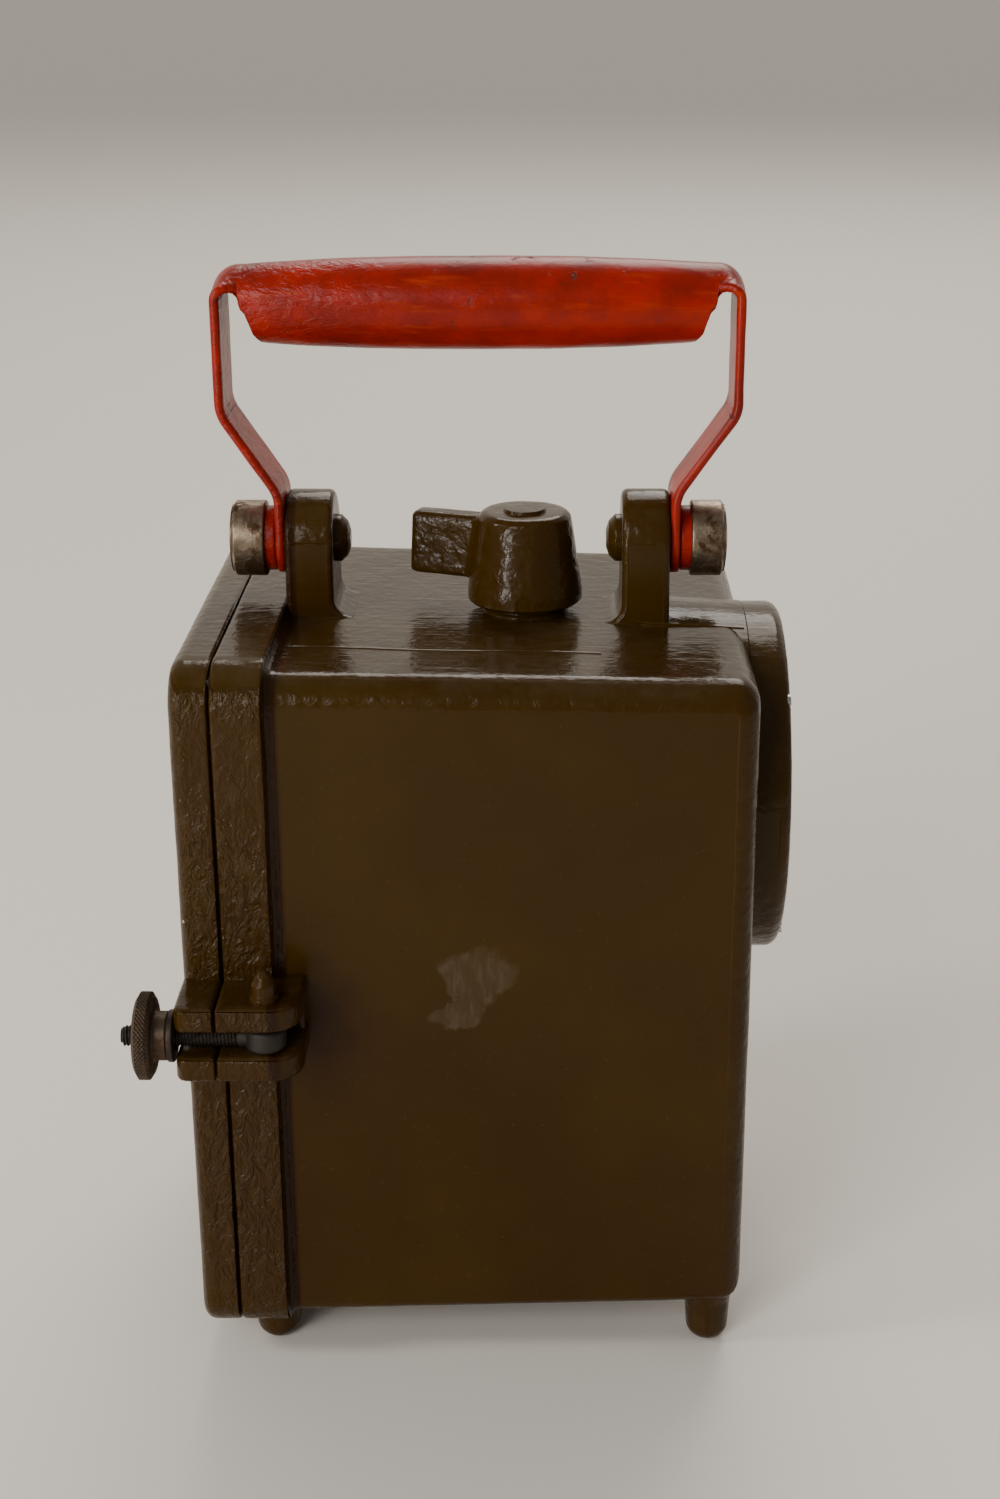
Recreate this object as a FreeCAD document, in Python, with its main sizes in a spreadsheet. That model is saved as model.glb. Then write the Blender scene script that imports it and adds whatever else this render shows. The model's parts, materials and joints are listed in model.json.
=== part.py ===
import FreeCAD, Part
import math
import os
import re

import Sketcher
from FreeCAD import Rotation, Vector

# A cast-metal portable battery lamp: a drafted box casting with a lens at the +X end, a hinged rear
# cover at the -X end held shut by a swing bolt, a folding carrying handle and a rotary switch on top.
# Frame: +X out of the lens, +Z up, the floor under the feet at z = 0, the origin amid the four feet.
os.makedirs("parts", exist_ok=True)
doc = FreeCAD.newDocument("HandLamp")

# ---------------------------------------------------------------- driving dimensions, millimetres
sizes = {
    # case casting
    "case_length": 134.5,
    "case_width": 132,
    "case_height": 180.5,
    "case_draft": 2.8,
    "case_wall": 4,
    "front_wall": 5,
    "edge_radius": 8,
    "front_radius": 6,
    "flange_length": 12.9,
    "flange_proud": 3.2,
    "step_radius": 1.6,
    "foot_height": 13.5,
    "foot_radius": 5.75,
    "foot_round": 3.6,
    "foot_inset_along": 8.3,
    "foot_inset_across": 11.5,
    # lens end
    "lens_drop": 49,
    "bulge_radius": 49.5,
    "bulge_length": 31,
    "bulge_round": 5,
    "bezel_radius": 47.5,
    "bezel_depth": 10.2,
    "bezel_round": 3,
    "glass_radius": 40.4,
    "glass_cover": 3.9,
    "glass_play": 0.3,
    "bore_bevel": 1.2,
    "glass_edge": 3.2,
    "glass_rise": 2.6,
    "gasket_thick": 1.5,
    "screw_circle": 44.1,
    "screw_head_radius": 2.5,
    "screw_shank_radius": 1.5,
    "screw_sink": 2.2,
    "screw_length": 9,
    # rear cover
    "cover_thick": 10,
    "cover_wall": 4,
    "cover_round": 3,
    "seam_gap": 0.3,
    "lip_depth": 2.4,
    "lip_thick": 2.6,
    "lip_gap": 0.6,
    "seal_width": 3,
    "seal_depth": 2.2,
    "seal_out": 1.4,
    # cover hinge
    "hinge_out": 7.4,
    "hinge_back": 4.9,
    "hinge_radius": 5.5,
    "hinge_pin_radius": 2.5,
    "hinge_spacing": 104,
    "hinge_leaf": 10,
    "hinge_play": 0.4,
    "hinge_plate": 3,
    "hinge_inset": 1.2,
    "hinge_root": 8.7,
    # handle pivots
    "pivot_rise": 18,
    "lug_span": 101.1,
    "lug_thick": 12.6,
    "lug_radius": 13,
    "lug_flare": 4.5,
    "lug_shift": 3.7,
    "pivot_radius": 4,
    "head_radius": 10,
    "head_length": 9.1,
    "head_edge": 0.9,
    "bush_radius": 8.8,
    "bush_length": 3.4,
    "nut_radius": 6.3,
    "nut_length": 4,
    "side_play": 0.15,
    "turn_play": 0.08,
    # carrying handle
    "sheet": 2.6,
    "strap_width": 18,
    "grip_radius": 11.8,
    "grip_swell": 0.9,
    "grip_sheet": 2,
    "grip_length": 114.6,
    "grip_slant": 5.7,
    "grip_slot": 3,
    "grip_top": 91.9,
    "crank_low": 10.5,
    "crank_high": 34.5,
    "crank_out": 16.2,
    "crank_radius": 6,
    "shoulder_radius": 7,
    # switch
    "switch_along": 8.65,
    "boss_radius": 13.4,
    "boss_rise": 4,
    "knob_play": 0.5,
    "knob_base_radius": 15.25,
    "knob_top_radius": 12.1,
    "knob_height": 22.3,
    "knob_round": 1.6,
    "button_radius": 5.4,
    "button_rise": 0.8,
    "lever_length": 32,
    "lever_width": 7,
    "lever_height": 17.4,
    "lever_draft": 1,
    "lever_angle": 160,
    "spindle_radius": 4,
    "rotor_radius": 12,
    "rotor_thick": 3,
    "rotor_arm": 6,
    "board_length": 44,
    "board_width": 56,
    "board_thick": 3,
    "board_drop": 11.4,
    "post_radius": 4,
    "post_spread": 20,
    "bush_wall": 2.5,
    # latch
    "latch_rise": 91.5,
    "pin_along": 11.8,
    "pin_out": 10.8,
    "pin_radius": 2.6,
    "ear_front": 6,
    "ear_end": 9.2,
    "ear_stack": 20.2,
    "ear_slot": 6.8,
    "ear_corner": 2.5,
    "ear_round": 5,
    "bolt_radius": 2.7,
    "bolt_tip": 0.8,
    "eye_radius": 5.2,
    "eye_thick": 6,
    "washer_radius": 6.6,
    "washer_thick": 1.6,
    "washer_gap": 0.5,
    "nut_bore_play": 0.85,
    "thumb_radius": 11,
    "thumb_thick": 4.3,
    "thumb_edge": 0.7,
    "thumb_hub_radius": 6.2,
    "thumb_hub_length": 3.6,
    "bolt_proud": 4,
    # inside
    "battery_length": 66,
    "battery_width": 104,
    "battery_height": 118,
    "battery_lid": 8,
    "battery_front": 57.4,
    "cap_radius": 9,
    "cap_height": 5,
    "stud_radius": 3,
    "stud_height": 8,
    "stud_spread": 18,
    "reflector_radius": 36,
    "reflector_depth": 34,
    "reflector_sheet": 0.8,
    "reflector_rim": 3,
    "bulb_radius": 5.6,
    "bulb_base_radius": 4.6,
    "bulb_base_length": 11,
    "holder_radius": 8.5,
    "holder_length": 11,
    "strip_width": 8,
    "strip_thick": 0.8,
    "plate_thick": 1.5,
    "plate_width": 70,
    "plate_height": 84,
    "plate_gap": 0.6,
    "spring_radius": 9,
    "spring_wire": 1.6,
    "spring_spread": 26,
}

sheet = doc.addObject("Spreadsheet::Sheet", "Sizes")
for row, (alias, number) in enumerate(sizes.items(), 1):
    sheet.set(f"A{row}", alias)
    sheet.set(f"B{row}", str(number))
    sheet.setAlias(f"B{row}", alias)
doc.recompute()
size = {alias: float(sheet.get(alias)) for alias in sizes}

# Places that several pieces share, written as expressions over the sheet's aliases.
seam = "(-case_length / 2)"
front = "(case_length / 2)"
base = "foot_height"
top = "(foot_height + case_height)"
side = "(case_width / 2)"
flange_side = "(case_width / 2 + flange_proud)"
flange_top = "(foot_height + case_height + flange_proud)"
flange_base = "(foot_height - flange_proud)"
lens_rise = "(foot_height + case_height - lens_drop)"
bezel_bore = "(glass_radius - glass_cover)"
cover_face = "(-case_length / 2 - seam_gap)"
cover_back = "(-case_length / 2 - seam_gap - cover_thick)"
pivot_rise = "(foot_height + case_height + pivot_rise)"
latch_rise = "(foot_height + latch_rise)"
pin_x = "(-case_length / 2 + pin_along)"
pin_y = "(-case_width / 2 - flange_proud - pin_out)"
ear_y = "(-case_width / 2 - flange_proud - pin_out - ear_front)"
hinge_x = "(-case_length / 2 - seam_gap - hinge_back)"
hinge_y = "(case_width / 2 + flange_proud + hinge_out)"
board_top = "(foot_height + case_height - board_drop)"
battery_back = "(case_length / 2 - battery_front - battery_length)"
battery_floor = "(foot_height + case_wall + case_draft)"
reflector_back = "(case_length / 2 - front_wall - reflector_depth)"

mouth_side = "(case_width / 2 - case_wall - lip_gap)"
mouth_low = "(foot_height + case_wall + lip_gap)"
mouth_tall = "(case_height - 2 * case_wall - 2 * lip_gap)"
seal_inner = (f"-{mouth_side} - seal_out", f"{mouth_low} - seal_out")
seal_inner_size = (f"2 * ({mouth_side} + seal_out)", f"{mouth_tall} + 2 * seal_out")
seal_outer = (f"{seal_inner[0]} - seal_width", f"{seal_inner[1]} - seal_width")
seal_outer_size = (f"{seal_inner_size[0]} + 2 * seal_width", f"{seal_inner_size[1]} + 2 * seal_width")

words = re.compile(r"\b(" + "|".join(sizes) + r")\b")


def bound(text):
    """The expression with each alias read from the sheet."""
    return words.sub(r"Sizes.\1", str(text))


def bind(item, **expressions):
    for name, text in expressions.items():
        item.setExpression(name, bound(text))


def place(item, x=0, y=0, z=0, turn=None):
    if turn is not None:
        item.Placement = FreeCAD.Placement(Vector(), turn)
    for axis, text in zip("xyz", (x, y, z)):
        item.setExpression(f"Placement.Base.{axis}", bound(text))


along_x = Rotation(Vector(0, 1, 0), 90)
along_back = Rotation(Vector(0, 1, 0), -90)
length_forward = Rotation(Vector(0, 0, 1), -90)


def new_body(label):
    body = doc.addObject("PartDesign::Body", label)
    body.Label = label
    return body


def origin_plane(body, role):
    return next(item for item in body.Origin.OriginFeatures if item.Role == role)


def block(body, name, x, y, z, length, width, height, cut=False):
    """A box of the body from its lowest corner, added or taken away."""
    item = body.newObject("PartDesign::" + ("Subtractive" if cut else "Additive") + "Box", name)
    bind(item, Length=length, Width=width, Height=height)
    place(item, x, y, z)
    return item


def rod(body, name, x, y, z, radius, height, turn=None, cut=False):
    """A cylinder of the body from the centre of one end, added or taken away."""
    item = body.newObject("PartDesign::" + ("Subtractive" if cut else "Additive") + "Cylinder", name)
    bind(item, Radius=radius, Height=height)
    place(item, x, y, z, turn)
    return item


def drafted(body, name, start, end, wide, low, high, draft, cut=False):
    """A box along +X that narrows by the draft on all four sides."""
    item = body.newObject("PartDesign::" + ("Subtractive" if cut else "Additive") + "Wedge", name)
    item.Placement = FreeCAD.Placement(Vector(), length_forward)
    bind(item, Ymin=start, Ymax=end, Xmin=f"-{wide}", Xmax=wide, Zmin=low, Zmax=high)
    bind(item, X2min=f"-{wide} + {draft}", X2max=f"{wide} - {draft}")
    bind(item, Z2min=f"{low} + {draft}", Z2max=f"{high} - {draft}")
    return item


def dress(body, kind, name, chosen, **expressions):
    """A fillet or chamfer on the edges of the body's last feature that the test picks."""
    doc.recompute()
    last = body.Tip
    assert not last.Shape.isNull(), (name, last.Name)
    names = [f"Edge{i}" for i, edge in enumerate(last.Shape.Edges, 1) if chosen(edge)]
    assert names, name
    item = body.newObject("PartDesign::" + kind, name)
    item.Base = (last, names)
    bind(item, **expressions)
    doc.recompute()
    return item


def ring(body, name, x, y, z, outer, inner, height, turn=None):
    rod(body, name, x, y, z, outer, height, turn)
    rod(body, name + "Hole", x, y, z, inner, height, turn, cut=True)


def outline(body, name, plane, corners, x=0, y=0, z=0):
    """A closed polygon sketch, each corner held by a pair of expressions from the sketch's origin."""
    sketch = body.newObject("Sketcher::SketchObject", name)
    sketch.AttachmentSupport = [(origin_plane(body, plane), "")]
    sketch.MapMode = "FlatFace"
    for axis, text in zip("xyz", (x, y, z)):
        sketch.setExpression(f"AttachmentOffset.Base.{axis}", bound(text))
    count = len(corners)
    start = [Vector(math.cos(math.tau * i / count), math.sin(math.tau * i / count), 0) for i in range(count)]
    for i in range(count):
        sketch.addGeometry(Part.LineSegment(start[i], start[(i + 1) % count]))
    for i in range(count):
        sketch.addConstraint(Sketcher.Constraint("Coincident", i, 2, (i + 1) % count, 1))
    for i, pair in enumerate(corners):
        for kind, text, now in zip(("DistanceX", "DistanceY"), pair, start[i]):
            index = sketch.addConstraint(Sketcher.Constraint(kind, -1, 1, i, 1, now))
            sketch.setExpression(f"Constraints[{index}]", bound(text))
    return sketch


def turned_along_x(body, name, corners, x=0, y=0, z=0, cut=False):
    """A solid of revolution about a line along X, from corners (along, radius)."""
    sketch = outline(body, name + "Sketch", "XY_Plane", corners, x, y, z)
    item = body.newObject("PartDesign::" + ("Groove" if cut else "Revolution"), name)
    item.Profile = sketch
    item.ReferenceAxis = (sketch, ["H_Axis"])
    item.Angle = 360
    return item


def turned_upright(body, name, corners, x=0, y=0, z=0):
    """A solid of revolution about a vertical line, from corners (radius, height)."""
    sketch = outline(body, name + "Sketch", "XZ_Plane", corners, x, z, f"-({y})")
    item = body.newObject("PartDesign::Revolution", name)
    item.Profile = sketch
    item.ReferenceAxis = (sketch, ["V_Axis"])
    item.Angle = 360
    return item


def spans(edge, **limits):
    """True where the edge's box lies within each (low, high) given for x, y or z."""
    box = edge.BoundBox
    ends = {"x": (box.XMin, box.XMax), "y": (box.YMin, box.YMax), "z": (box.ZMin, box.ZMax)}
    return all(low - 0.05 <= ends[a][0] and ends[a][1] <= high + 0.05 for a, (low, high) in limits.items())


def runs(edge, axis):
    """True for a straight edge that runs mostly along the axis."""
    if edge.Curve.TypeId != "Part::GeomLine":
        return False
    way = edge.Vertexes[-1].Point - edge.Vertexes[0].Point
    return abs(way.dot(axis)) > 0.95 * way.Length


bevel = round(1 - math.sqrt(0.5), 4)
x_axis, y_axis, z_axis = Vector(1, 0, 0), Vector(0, 1, 0), Vector(0, 0, 1)
seam_at = -size["case_length"] / 2
front_at = size["case_length"] / 2
base_at = size["foot_height"]
top_at = base_at + size["case_height"]
side_at = size["case_width"] / 2


# ---------------------------------------------------------------- case casting
def case_casting():
    body = new_body("case_casting")
    drafted(body, "Shell", seam, front, side, base, top, "case_draft")
    dress(body, "Fillet", "LongEdges", lambda e: runs(e, x_axis), Radius="edge_radius")
    dress(body, "Fillet", "FrontEdges", lambda e: spans(e, x=(front_at, front_at)), Radius="front_radius")
    shoulder = f"bulge_radius - bulge_round * {bevel}"
    turned_along_x(body, "Bulge", [
        ("-bulge_length", "0"), ("-bulge_length", "bulge_radius - bulge_round"),
        (f"-bulge_length + bulge_round * {bevel}", shoulder), ("-bulge_length + bulge_round", "bulge_radius"),
        ("-bulge_round", "bulge_radius"), (f"-bulge_round * {bevel}", shoulder),
        ("0", "bulge_radius - bulge_round"), ("0", "0")], front, 0, lens_rise)
    flange = (seam, f"-{flange_side}", flange_base)
    block(body, "Flange", *flange, "flange_length", f"2 * {flange_side}", "case_height + 2 * flange_proud")
    reach = side_at + size["flange_proud"]
    dress(body, "Fillet", "FlangeCorners",
          lambda e: runs(e, x_axis) and abs(abs(e.BoundBox.YMin) - reach) < 0.1 and e.BoundBox.YLength < 0.1,
          Radius="edge_radius + flange_proud")
    shell_end = seam_at + size["flange_length"]
    dress(body, "Fillet", "FlangeStep", lambda e: spans(e, x=(shell_end, shell_end), y=(-side_at, side_at),
                                                        z=(base_at, top_at)), Radius="step_radius")
    # handle lugs, rounded over the pivot
    for name, sign in (("Left", -1), ("Right", 1)):
        start = f"-lug_shift + {sign} * (lug_span - lug_thick) / 2 - lug_thick / 2"
        block(body, f"Lug{name}", start, "-lug_radius", f"{top} - case_wall / 2 - case_draft",
              "lug_thick", "2 * lug_radius", "pivot_rise + case_wall / 2 + case_draft")
        rod(body, f"LugHead{name}", start, 0, pivot_rise, "lug_radius", "lug_thick", along_x)
        inner_at = -size["lug_shift"] + sign * (size["lug_span"] / 2 - size["lug_thick"])
        dress(body, "Fillet", f"LugFlare{name}",
              lambda e: runs(e, y_axis) and spans(e, x=(inner_at, inner_at), z=(top_at - 3, top_at)),
              Radius="lug_flare")
    # switch boss above the top wall, two posts for the contact board below it
    rod(body, "SwitchBoss", "switch_along", 0, f"{top} - case_wall", "boss_radius",
        "case_wall - case_draft / 2 + boss_rise")
    # latch ears and the web behind them
    length = "pin_along + ear_end"
    block(body, "EarStack", seam, ear_y, f"{latch_rise} - ear_stack / 2", length,
          "pin_out + ear_front + flange_proud", "ear_stack")
    ear_front_at = -side_at - size["flange_proud"] - size["pin_out"] - size["ear_front"]
    ear_end_at = seam_at + size["pin_along"] + size["ear_end"]
    dress(body, "Fillet", "EarRound",
          lambda e: runs(e, z_axis) and spans(e, x=(ear_end_at, ear_end_at), y=(ear_front_at, ear_front_at)),
          Radius="ear_round")
    # hollow and openings
    inner = f"({side} - case_wall)"
    drafted(body, "Hollow", f"{seam} - 1", f"{front} - front_wall", inner, f"{base} + case_wall",
            f"{top} - case_wall", "case_draft", cut=True)
    for name, sign in (("Near", -1), ("Far", 1)):
        rod(body, f"Post{name}", "switch_along", f"{sign} * post_spread", board_top, "post_radius",
            "board_drop - case_draft")
    rod(body, "LensHole", f"{front} - front_wall - 1", 0, lens_rise, bezel_bore, "front_wall + 2", along_x,
        cut=True)
    rod(body, "SwitchHole", "switch_along", 0, f"{top} - 2 * case_wall", "spindle_radius + bush_wall",
        "3 * case_wall", cut=True)
    rod(body, "PivotHoles", "-lug_shift - lug_span", 0, pivot_rise, "pivot_radius", "2 * lug_span", along_x,
        cut=True)
    block(body, "EarSlot", f"{seam} - 1", f"{ear_y} - 1", f"{latch_rise} - ear_slot / 2", f"{length} + 2",
          "pin_out + ear_front - 0.6", "ear_slot", cut=True)
    rod(body, "PinHole", pin_x, pin_y, f"{latch_rise} - ear_stack", "pin_radius", "2 * ear_stack", cut=True)
    for i in range(4):
        rod(body, f"ScrewHole{i + 1}", f"{front} - front_wall - 1", *screw_place(i),
            "screw_shank_radius", "front_wall + 2", along_x, cut=True)
    return body


def foot(casting, end, across):
    """A stud foot, rounded at the floor and fitted against the casting's underside."""
    label = f"foot_{'rear' if end < 0 else 'front'}_{'near' if across < 0 else 'far'}"
    blank = new_body(label + "_blank")
    tall = "foot_height + case_wall / 2" if end < 0 else "foot_height + case_draft + case_wall / 2"
    rod(blank, "Stud", f"{end} * (case_length / 2 - foot_inset_along)",
        f"{across} * ({side} - foot_inset_across)", 0, "foot_radius", tall)
    dress(blank, "Fillet", "FloorRound", lambda e: spans(e, z=(0, 0)), Radius="foot_round")
    item = doc.addObject("Part::Cut", label)
    item.Base, item.Tool = blank, casting
    item.Label = label
    return item


def screw_place(i):
    """The Y and Z of bezel screw i."""
    angle = 45 + 90 * i
    return f"screw_circle * cos({angle} deg)", f"{lens_rise} + screw_circle * sin({angle} deg)"


def hinge_leaf(name, sign, fixed):
    """One leaf of a cover hinge: the case's has the outer two knuckles, the cover's the middle one."""
    body = new_body(f"{'case' if fixed else 'cover'}_hinge_{name}")
    middle = f"{base} + case_height / 2 + {sign} * hinge_spacing / 2"
    if fixed:
        block(body, "Plate", f"{seam} + hinge_inset", flange_side, f"{middle} - 1.5 * hinge_leaf - hinge_play",
              "hinge_root", "hinge_plate", "3 * hinge_leaf + 2 * hinge_play")
    for level in (-1, 1) if fixed else (0,):
        low = f"{middle} - hinge_leaf / 2 + {level} * (hinge_leaf + hinge_play)"
        rod(body, f"Knuckle{level + 1}", hinge_x, hinge_y, low, "hinge_radius", "hinge_leaf")
        if fixed:
            block(body, f"Root{level + 1}", f"{seam} + hinge_inset", flange_side, low, "hinge_root",
                  "hinge_out + hinge_radius", "hinge_leaf")
            block(body, f"Arm{level + 1}", hinge_x, f"{hinge_y} - 1", low,
                  "hinge_back + seam_gap + hinge_inset + hinge_root", "hinge_radius + 1", "hinge_leaf")
        else:
            block(body, "Arm", f"{hinge_x} - hinge_back", flange_side, low, "2 * hinge_back - 0.6", "hinge_out",
                  "hinge_leaf")
    bore = "hinge_pin_radius" if fixed else "hinge_pin_radius + turn_play"
    rod(body, "PinHole", hinge_x, hinge_y, f"{middle} - 2 * hinge_leaf", bore, "4 * hinge_leaf", cut=True)
    return body


# ---------------------------------------------------------------- rear cover
def cover_casting():
    body = new_body("cover_casting")
    block(body, "Pan", cover_back, f"-{flange_side}", flange_base, "cover_thick", f"2 * {flange_side}",
          "case_height + 2 * flange_proud")
    dress(body, "Fillet", "PanCorners", lambda e: runs(e, x_axis), Radius="edge_radius + flange_proud")
    back_at = seam_at - size["seam_gap"] - size["cover_thick"]
    dress(body, "Fillet", "PanBack", lambda e: spans(e, x=(back_at, back_at)), Radius="cover_round")
    block(body, "EarStack", cover_back, ear_y, f"{latch_rise} - ear_stack / 2", "cover_thick",
          "pin_out + ear_front + flange_proud + cover_round", "ear_stack")
    ear_at = -side_at - size["flange_proud"] - size["pin_out"] - size["ear_front"]
    dress(body, "Fillet", "EarCorner",
          lambda e: runs(e, z_axis) and spans(e, x=(back_at, back_at), y=(ear_at, ear_at)), Radius="ear_corner")
    # the seal's groove round the rim, the register lip inside the case mouth, then the pan's hollow
    block(body, "SealGroove", f"{cover_face} - seal_depth", *seal_outer, "seal_depth + 1", *seal_outer_size,
          cut=True)
    block(body, "SealLand", f"{cover_face} - seal_depth", *seal_inner, "seal_depth", *seal_inner_size)
    block(body, "Lip", f"{cover_face} - 1", f"-{mouth_side}", mouth_low, "lip_depth + 1", f"2 * {mouth_side}",
          mouth_tall)
    block(body, "Hollow", f"{cover_back} + cover_wall", f"-{mouth_side} + lip_thick", f"{mouth_low} + lip_thick",
          "cover_thick + lip_depth", f"2 * ({mouth_side} - lip_thick)", f"{mouth_tall} - 2 * lip_thick", cut=True)
    block(body, "EarSlot", f"{cover_back} - 1", f"{ear_y} - 1", f"{latch_rise} - ear_slot / 2",
          "cover_thick + 2", "pin_out + ear_front - 0.6", "ear_slot", cut=True)
    return body


def cover_seal():
    body = new_body("cover_seal")
    block(body, "Outer", f"{cover_face} - seal_depth", *seal_outer, "seal_depth + seam_gap", *seal_outer_size)
    block(body, "Inner", f"{cover_face} - seal_depth - 1", *seal_inner, "seal_depth + seam_gap + 2",
          *seal_inner_size, cut=True)
    return body


battery_middle = f"({battery_floor} + battery_height / 2)"


def pressure_plate():
    """The sprung plate on the cover that holds the battery forward."""
    body = new_body("pressure_plate")
    block(body, "Plate", f"{battery_back} - plate_gap - plate_thick", "-plate_width / 2",
          f"{battery_middle} - plate_height / 2", "plate_thick", "plate_width", "plate_height")
    dress(body, "Fillet", "PlateCorners", lambda e: runs(e, x_axis), Radius="plate_thick * 4")
    return body


def pressure_spring(i):
    """A coil spring's outer form between the cover's floor and the plate."""
    body = new_body(f"pressure_spring_{i + 1}")
    floor = f"({cover_back} + cover_wall)"
    middle = f"{battery_middle} + {2 * i - 1} * spring_spread"
    length = f"{battery_back} - plate_gap - plate_thick - {floor}"
    ring(body, "Coil", floor, 0, middle, "spring_radius", "spring_radius - spring_wire", length, along_x)
    return body


def hinge_pin(name, sign):
    body = new_body(f"hinge_pin_{name}")
    middle = f"{base} + case_height / 2 + {sign} * hinge_spacing / 2"
    stack = "(1.5 * hinge_leaf + hinge_play)"
    rod(body, "Pin", hinge_x, hinge_y, f"{middle} - {stack}", "hinge_pin_radius", f"2 * {stack}")
    for end, start in (("Foot", f"{middle} - {stack} - 1.5"), ("Head", f"{middle} + {stack}")):
        rod(body, end, hinge_x, hinge_y, start, "hinge_pin_radius + 1.1", 1.5)
    doc.recompute()
    ends = (body.Shape.BoundBox.ZMin, body.Shape.BoundBox.ZMax)
    dress(body, "Fillet", "Domes", lambda e: any(spans(e, z=(end, end)) for end in ends), Radius=1)
    return body


# ---------------------------------------------------------------- lens end
def lens_gasket():
    body = new_body("lens_gasket")
    ring(body, "Ring", front, 0, lens_rise, "glass_radius", f"{bezel_bore} + glass_play", "gasket_thick", along_x)
    return body


def lens_glass():
    """A disc with a shallow spherical dome in front, held by its flat rim."""
    back = f"({front} + gasket_thick)"
    dome_radius = f"({bezel_bore} - glass_play)"
    ball_radius = f"(({dome_radius} * {dome_radius} + glass_rise * glass_rise) / (2 * glass_rise))"
    disc = part_rod("GlassDisc", back, lens_rise, "glass_radius", "glass_edge")
    core = part_rod("GlassCore", back, lens_rise, dome_radius, "glass_edge + glass_rise")
    ball = doc.addObject("Part::Sphere", "GlassBall")
    bind(ball, Radius=ball_radius)
    place(ball, f"{back} + glass_edge + glass_rise - {ball_radius}", 0, lens_rise)
    dome = doc.addObject("Part::Common", "GlassDome")
    dome.Base, dome.Tool = core, ball
    glass = doc.addObject("Part::Fuse", "lens_glass")
    glass.Base, glass.Tool = disc, dome
    glass.Label = "lens_glass"
    return glass


def part_rod(name, x, z, radius, height):
    item = doc.addObject("Part::Cylinder", name)
    bind(item, Radius=radius, Height=height)
    place(item, x, 0, z, along_x)
    return item


def bezel_ring():
    body = new_body("bezel_ring")
    seat = "gasket_thick + glass_edge"
    turned_along_x(body, "Ring", [
        ("0", "glass_radius + glass_play"), ("0", "bezel_radius"), ("bezel_depth", "bezel_radius"),
        ("bezel_depth", f"{bezel_bore} + bore_bevel"), ("bezel_depth - bore_bevel", bezel_bore),
        (seat, bezel_bore), (seat, "glass_radius + glass_play")], front, 0, lens_rise)
    face_at = front_at + size["bezel_depth"]
    rim = 2 * size["bezel_radius"] - 0.1
    dress(body, "Fillet", "RingRound", lambda e: spans(e, x=(face_at, face_at)) and e.BoundBox.ZLength > rim,
          Radius="bezel_round")
    for i in range(4):
        y, z = screw_place(i)
        rod(body, f"Shank{i + 1}", f"{front} - 1", y, z, "screw_shank_radius", "bezel_depth + 2", along_x,
            cut=True)
        rod(body, f"Sink{i + 1}", f"{front} + bezel_depth - screw_sink", y, z, "screw_head_radius + 0.15",
            "screw_sink + 1", along_x, cut=True)
    return body


def bezel_screw(i):
    body = new_body(f"bezel_screw_{i + 1}")
    y, z = screw_place(i)
    under = f"{front} + bezel_depth - screw_sink"
    rod(body, "Head", under, y, z, "screw_head_radius", "screw_sink", along_x)
    rod(body, "Shank", f"{under} + 0.5 - screw_length - 0.5", y, z, "screw_shank_radius", "screw_length + 0.5",
        along_x)
    block(body, "Slot", f"{under} + screw_sink - 0.8", f"{y} - screw_head_radius - 1", f"{z} - 0.4", 1,
          "2 * screw_head_radius + 2", 0.8, cut=True)
    return body


def reflector():
    """A paraboloid shell, open to the lens, with a flat rim against the front wall and a bulb hole."""
    depth, rim_radius = size["reflector_depth"], size["reflector_radius"]
    thick, hole = size["reflector_sheet"], size["bulb_base_radius"] + 0.3
    bend = rim_radius ** 2 / depth

    def curve(offset):
        spread = [hole + (rim_radius + offset - hole) * i / 12 for i in range(13)]
        points = [Vector((r - offset) ** 2 / bend if r > offset else 0, 0, r) for r in spread]
        line = Part.BSplineCurve()
        line.interpolate([Vector(p.x - offset * 0.4, 0, p.z) for p in points])
        return line.toShape()

    inner, outer = curve(0), curve(thick)
    reach = rim_radius + size["reflector_rim"]
    start, end = inner.Vertexes[0].Point, inner.Vertexes[-1].Point
    low, high = outer.Vertexes[0].Point, outer.Vertexes[-1].Point
    rim = [end, Vector(depth, 0, end.z), Vector(depth, 0, reach), Vector(depth - thick, 0, reach),
           Vector(depth - thick, 0, high.z + 0.2), high]
    legs = [Part.LineSegment(a, b).toShape() for a, b in zip(rim, rim[1:]) if a.distanceToPoint(b) > 1e-6]
    wire = Part.Wire(Part.__sortEdges__([inner, outer, Part.LineSegment(low, start).toShape(), *legs]))
    shell = Part.Face(wire).revolve(Vector(), x_axis, 360)
    item = doc.addObject("Part::Feature", "reflector")
    item.Label = "reflector"
    item.Shape = shell
    place(item, reflector_back, 0, lens_rise)
    return item


focus = "(reflector_radius * reflector_radius / (4 * reflector_depth))"


def bulb_glass():
    body = new_body("bulb_glass")
    ball = body.newObject("PartDesign::AdditiveSphere", "Ball")
    bind(ball, Radius="bulb_radius")
    place(ball, f"{reflector_back} + {focus}", 0, lens_rise)
    rod(body, "Neck", f"{reflector_back} + {focus} - bulb_radius - 1.5", 0, lens_rise, "bulb_base_radius - 1",
        "bulb_radius", along_x)
    return body


def bulb_base():
    body = new_body("bulb_base")
    end = f"({reflector_back} + {focus} - bulb_radius - 1.5)"
    rod(body, "Shell", f"{end} - bulb_base_length", 0, lens_rise, "bulb_base_radius", "bulb_base_length",
        along_x)
    rod(body, "Tip", f"{end} - bulb_base_length - 1", 0, lens_rise, "bulb_base_radius / 2", 1, along_x)
    return body


bulb_tip = f"({reflector_back} + {focus} - bulb_radius - 2.5 - bulb_base_length)"


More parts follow.
